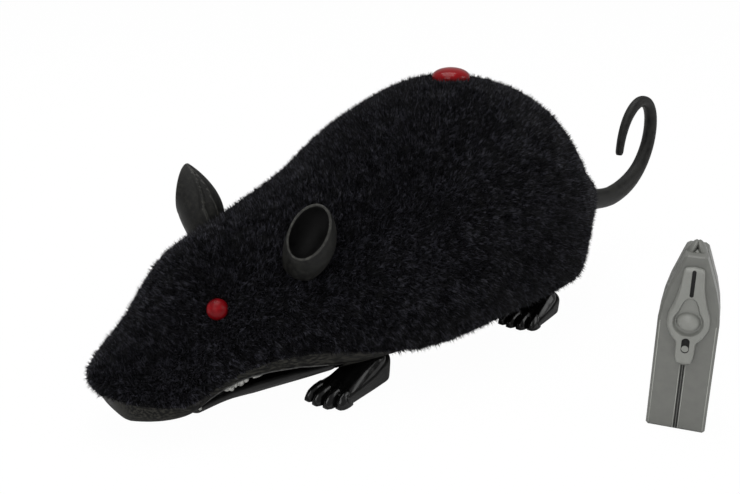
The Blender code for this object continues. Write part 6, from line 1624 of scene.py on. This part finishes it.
@dataclass
class Studio:
    """Plain white studio: the floor, large soft lights and the photograph's camera."""

    eye: tuple = (-0.2048, -0.2334, 0.1450)
    target: tuple = (-0.0083, 0.0, 0.0352)
    lens: float = 44.5
    floor_size: float = 6.0

    def build_camera(self) -> bpy.types.Object:
        """Camera at the photograph's place and angle."""
        data = bpy.data.cameras.new("camera")
        data.lens = self.lens
        data.sensor_width = SENSOR_WIDTH
        data.clip_start = 0.01
        camera = bpy.data.objects.new("camera", data)
        bpy.context.scene.collection.objects.link(camera)
        eye, target = RAT_AT + Vector(self.eye), RAT_AT + Vector(self.target)
        camera.location = eye
        camera.rotation_euler = (target - eye).to_track_quat("-Z", "Y").to_euler()
        bpy.context.scene.camera = camera
        return camera

    def build_floor(self) -> bpy.types.Object:
        """Pale floor whose colour the camera sees as white, away from the object's shadow."""
        half = self.floor_size / 2
        points = np.array([(-half, -half, 0), (half, -half, 0), (half, half, 0), (-half, half, 0)], float)
        floor = add_mesh("floor", points, [np.array([[0, 1, 2, 3]])], smooth=False)
        made = bpy.data.materials.new("pale_floor")
        made.use_nodes = True
        nodes, links = made.node_tree.nodes, made.node_tree.links
        shader = nodes["Principled BSDF"]
        shader.inputs["Base Color"].default_value = (0.9, 0.9, 0.9, 1)
        shader.inputs["Roughness"].default_value = 0.9
        shader.inputs["Specular IOR Level"].default_value = 0.1
        light = nodes.new("ShaderNodeEmission")
        light.inputs["Strength"].default_value = 1.0
        path = nodes.new("ShaderNodeLightPath")
        seen = nodes.new("ShaderNodeMath")
        seen.operation = "MULTIPLY"
        seen.inputs[1].default_value = 0.98
        links.new(path.outputs["Is Camera Ray"], seen.inputs[0])
        mix = nodes.new("ShaderNodeMixShader")
        links.new(seen.outputs[0], mix.inputs["Fac"])
        links.new(shader.outputs["BSDF"], mix.inputs[1])
        links.new(light.outputs["Emission"], mix.inputs[2])
        links.new(mix.outputs["Shader"], nodes["Material Output"].inputs["Surface"])
        floor.data.materials.append(made)
        return floor

    def add_light(self, name: str, place: tuple, size: tuple, watts: float) -> bpy.types.Object:
        """Rectangular soft light that faces the middle of the scene."""
        data = bpy.data.lights.new(name, "AREA")
        data.shape = "RECTANGLE"
        data.size, data.size_y = size
        data.energy = watts
        light = bpy.data.objects.new(name, data)
        bpy.context.scene.collection.objects.link(light)
        light.location = place
        aim = Vector((0, 0, 0.04)) - Vector(place)
        light.rotation_euler = aim.to_track_quat("-Z", "Y").to_euler()
        return light

    def build_world(self) -> None:
        """World that lights softly and is white to the camera and to reflections."""
        world = bpy.data.worlds.new("studio")
        bpy.context.scene.world = world
        world.use_nodes = True
        nodes, links = world.node_tree.nodes, world.node_tree.links
        back = nodes["Background"]
        back.inputs["Color"].default_value = (1, 1, 1, 1)
        path = nodes.new("ShaderNodeLightPath")
        level = nodes.new("ShaderNodeMapRange")
        level.inputs["To Min"].default_value = 0.42
        level.inputs["To Max"].default_value = 1.0
        links.new(path.outputs["Is Camera Ray"], level.inputs["Value"])
        links.new(level.outputs["Result"], back.inputs["Strength"])

    def build(self) -> None:
        """Build the floor, the world, the lights and the camera, with plain colour management."""
        scene = bpy.context.scene
        scene.view_settings.view_transform = "Standard"
        self.build_floor()
        self.build_world()
        self.add_light("top_light", (-0.15, 0.15, 1.3), (1.3, 1.0), 13.0)
        self.add_light("left_light", (-1.2, -0.5, 0.8), (0.8, 1.0), 7.0)
        self.add_light("right_light", (0.9, -1.0, 0.7), (0.7, 0.9), 4.5)
        self.build_camera()


def main() -> None:
    """Build the studio, dress the frame and build each sub-assembly in turn."""
    logging.basicConfig(level=logging.INFO, format="%(name)s: %(message)s")
    Studio().build()
    dress_frame()
    coat = PlushCoat(FORM, EDGES)
    pieces = BareSkin(FORM, EDGES).build() + Mouth(FORM, EDGES).build()
    for side in (-1, 1):
        ear, eye = Ear(side), Eye(FORM, side)
        pieces += [ear.build(), eye.build()]
        coat.add_hole(eye.centre(), eye.clearance)
    dome = Dome(FORM)
    pieces += [dome.build(), Tail(FORM).build()]
    coat.add_hole(FORM.top(dome.share), dome.clearance)
    for word, share, shift, sizes in (("front", 0.289, 0.0, {}), ("rear", 0.691, -0.0020, REAR_PAW_SIZES)):
        for side, hand in ((-1, "left"), (1, "right")):
            paw = Paw((float(FORM.station(share)) + shift, PAW_Y), side, **sizes)
            pieces += paw.build(f"foot_{word}_{hand}")
    pieces += RemoteFront().build()
    for piece in pieces + coat.build():
        log.info("built %s", piece.name)


if __name__ == "__main__":
    main()
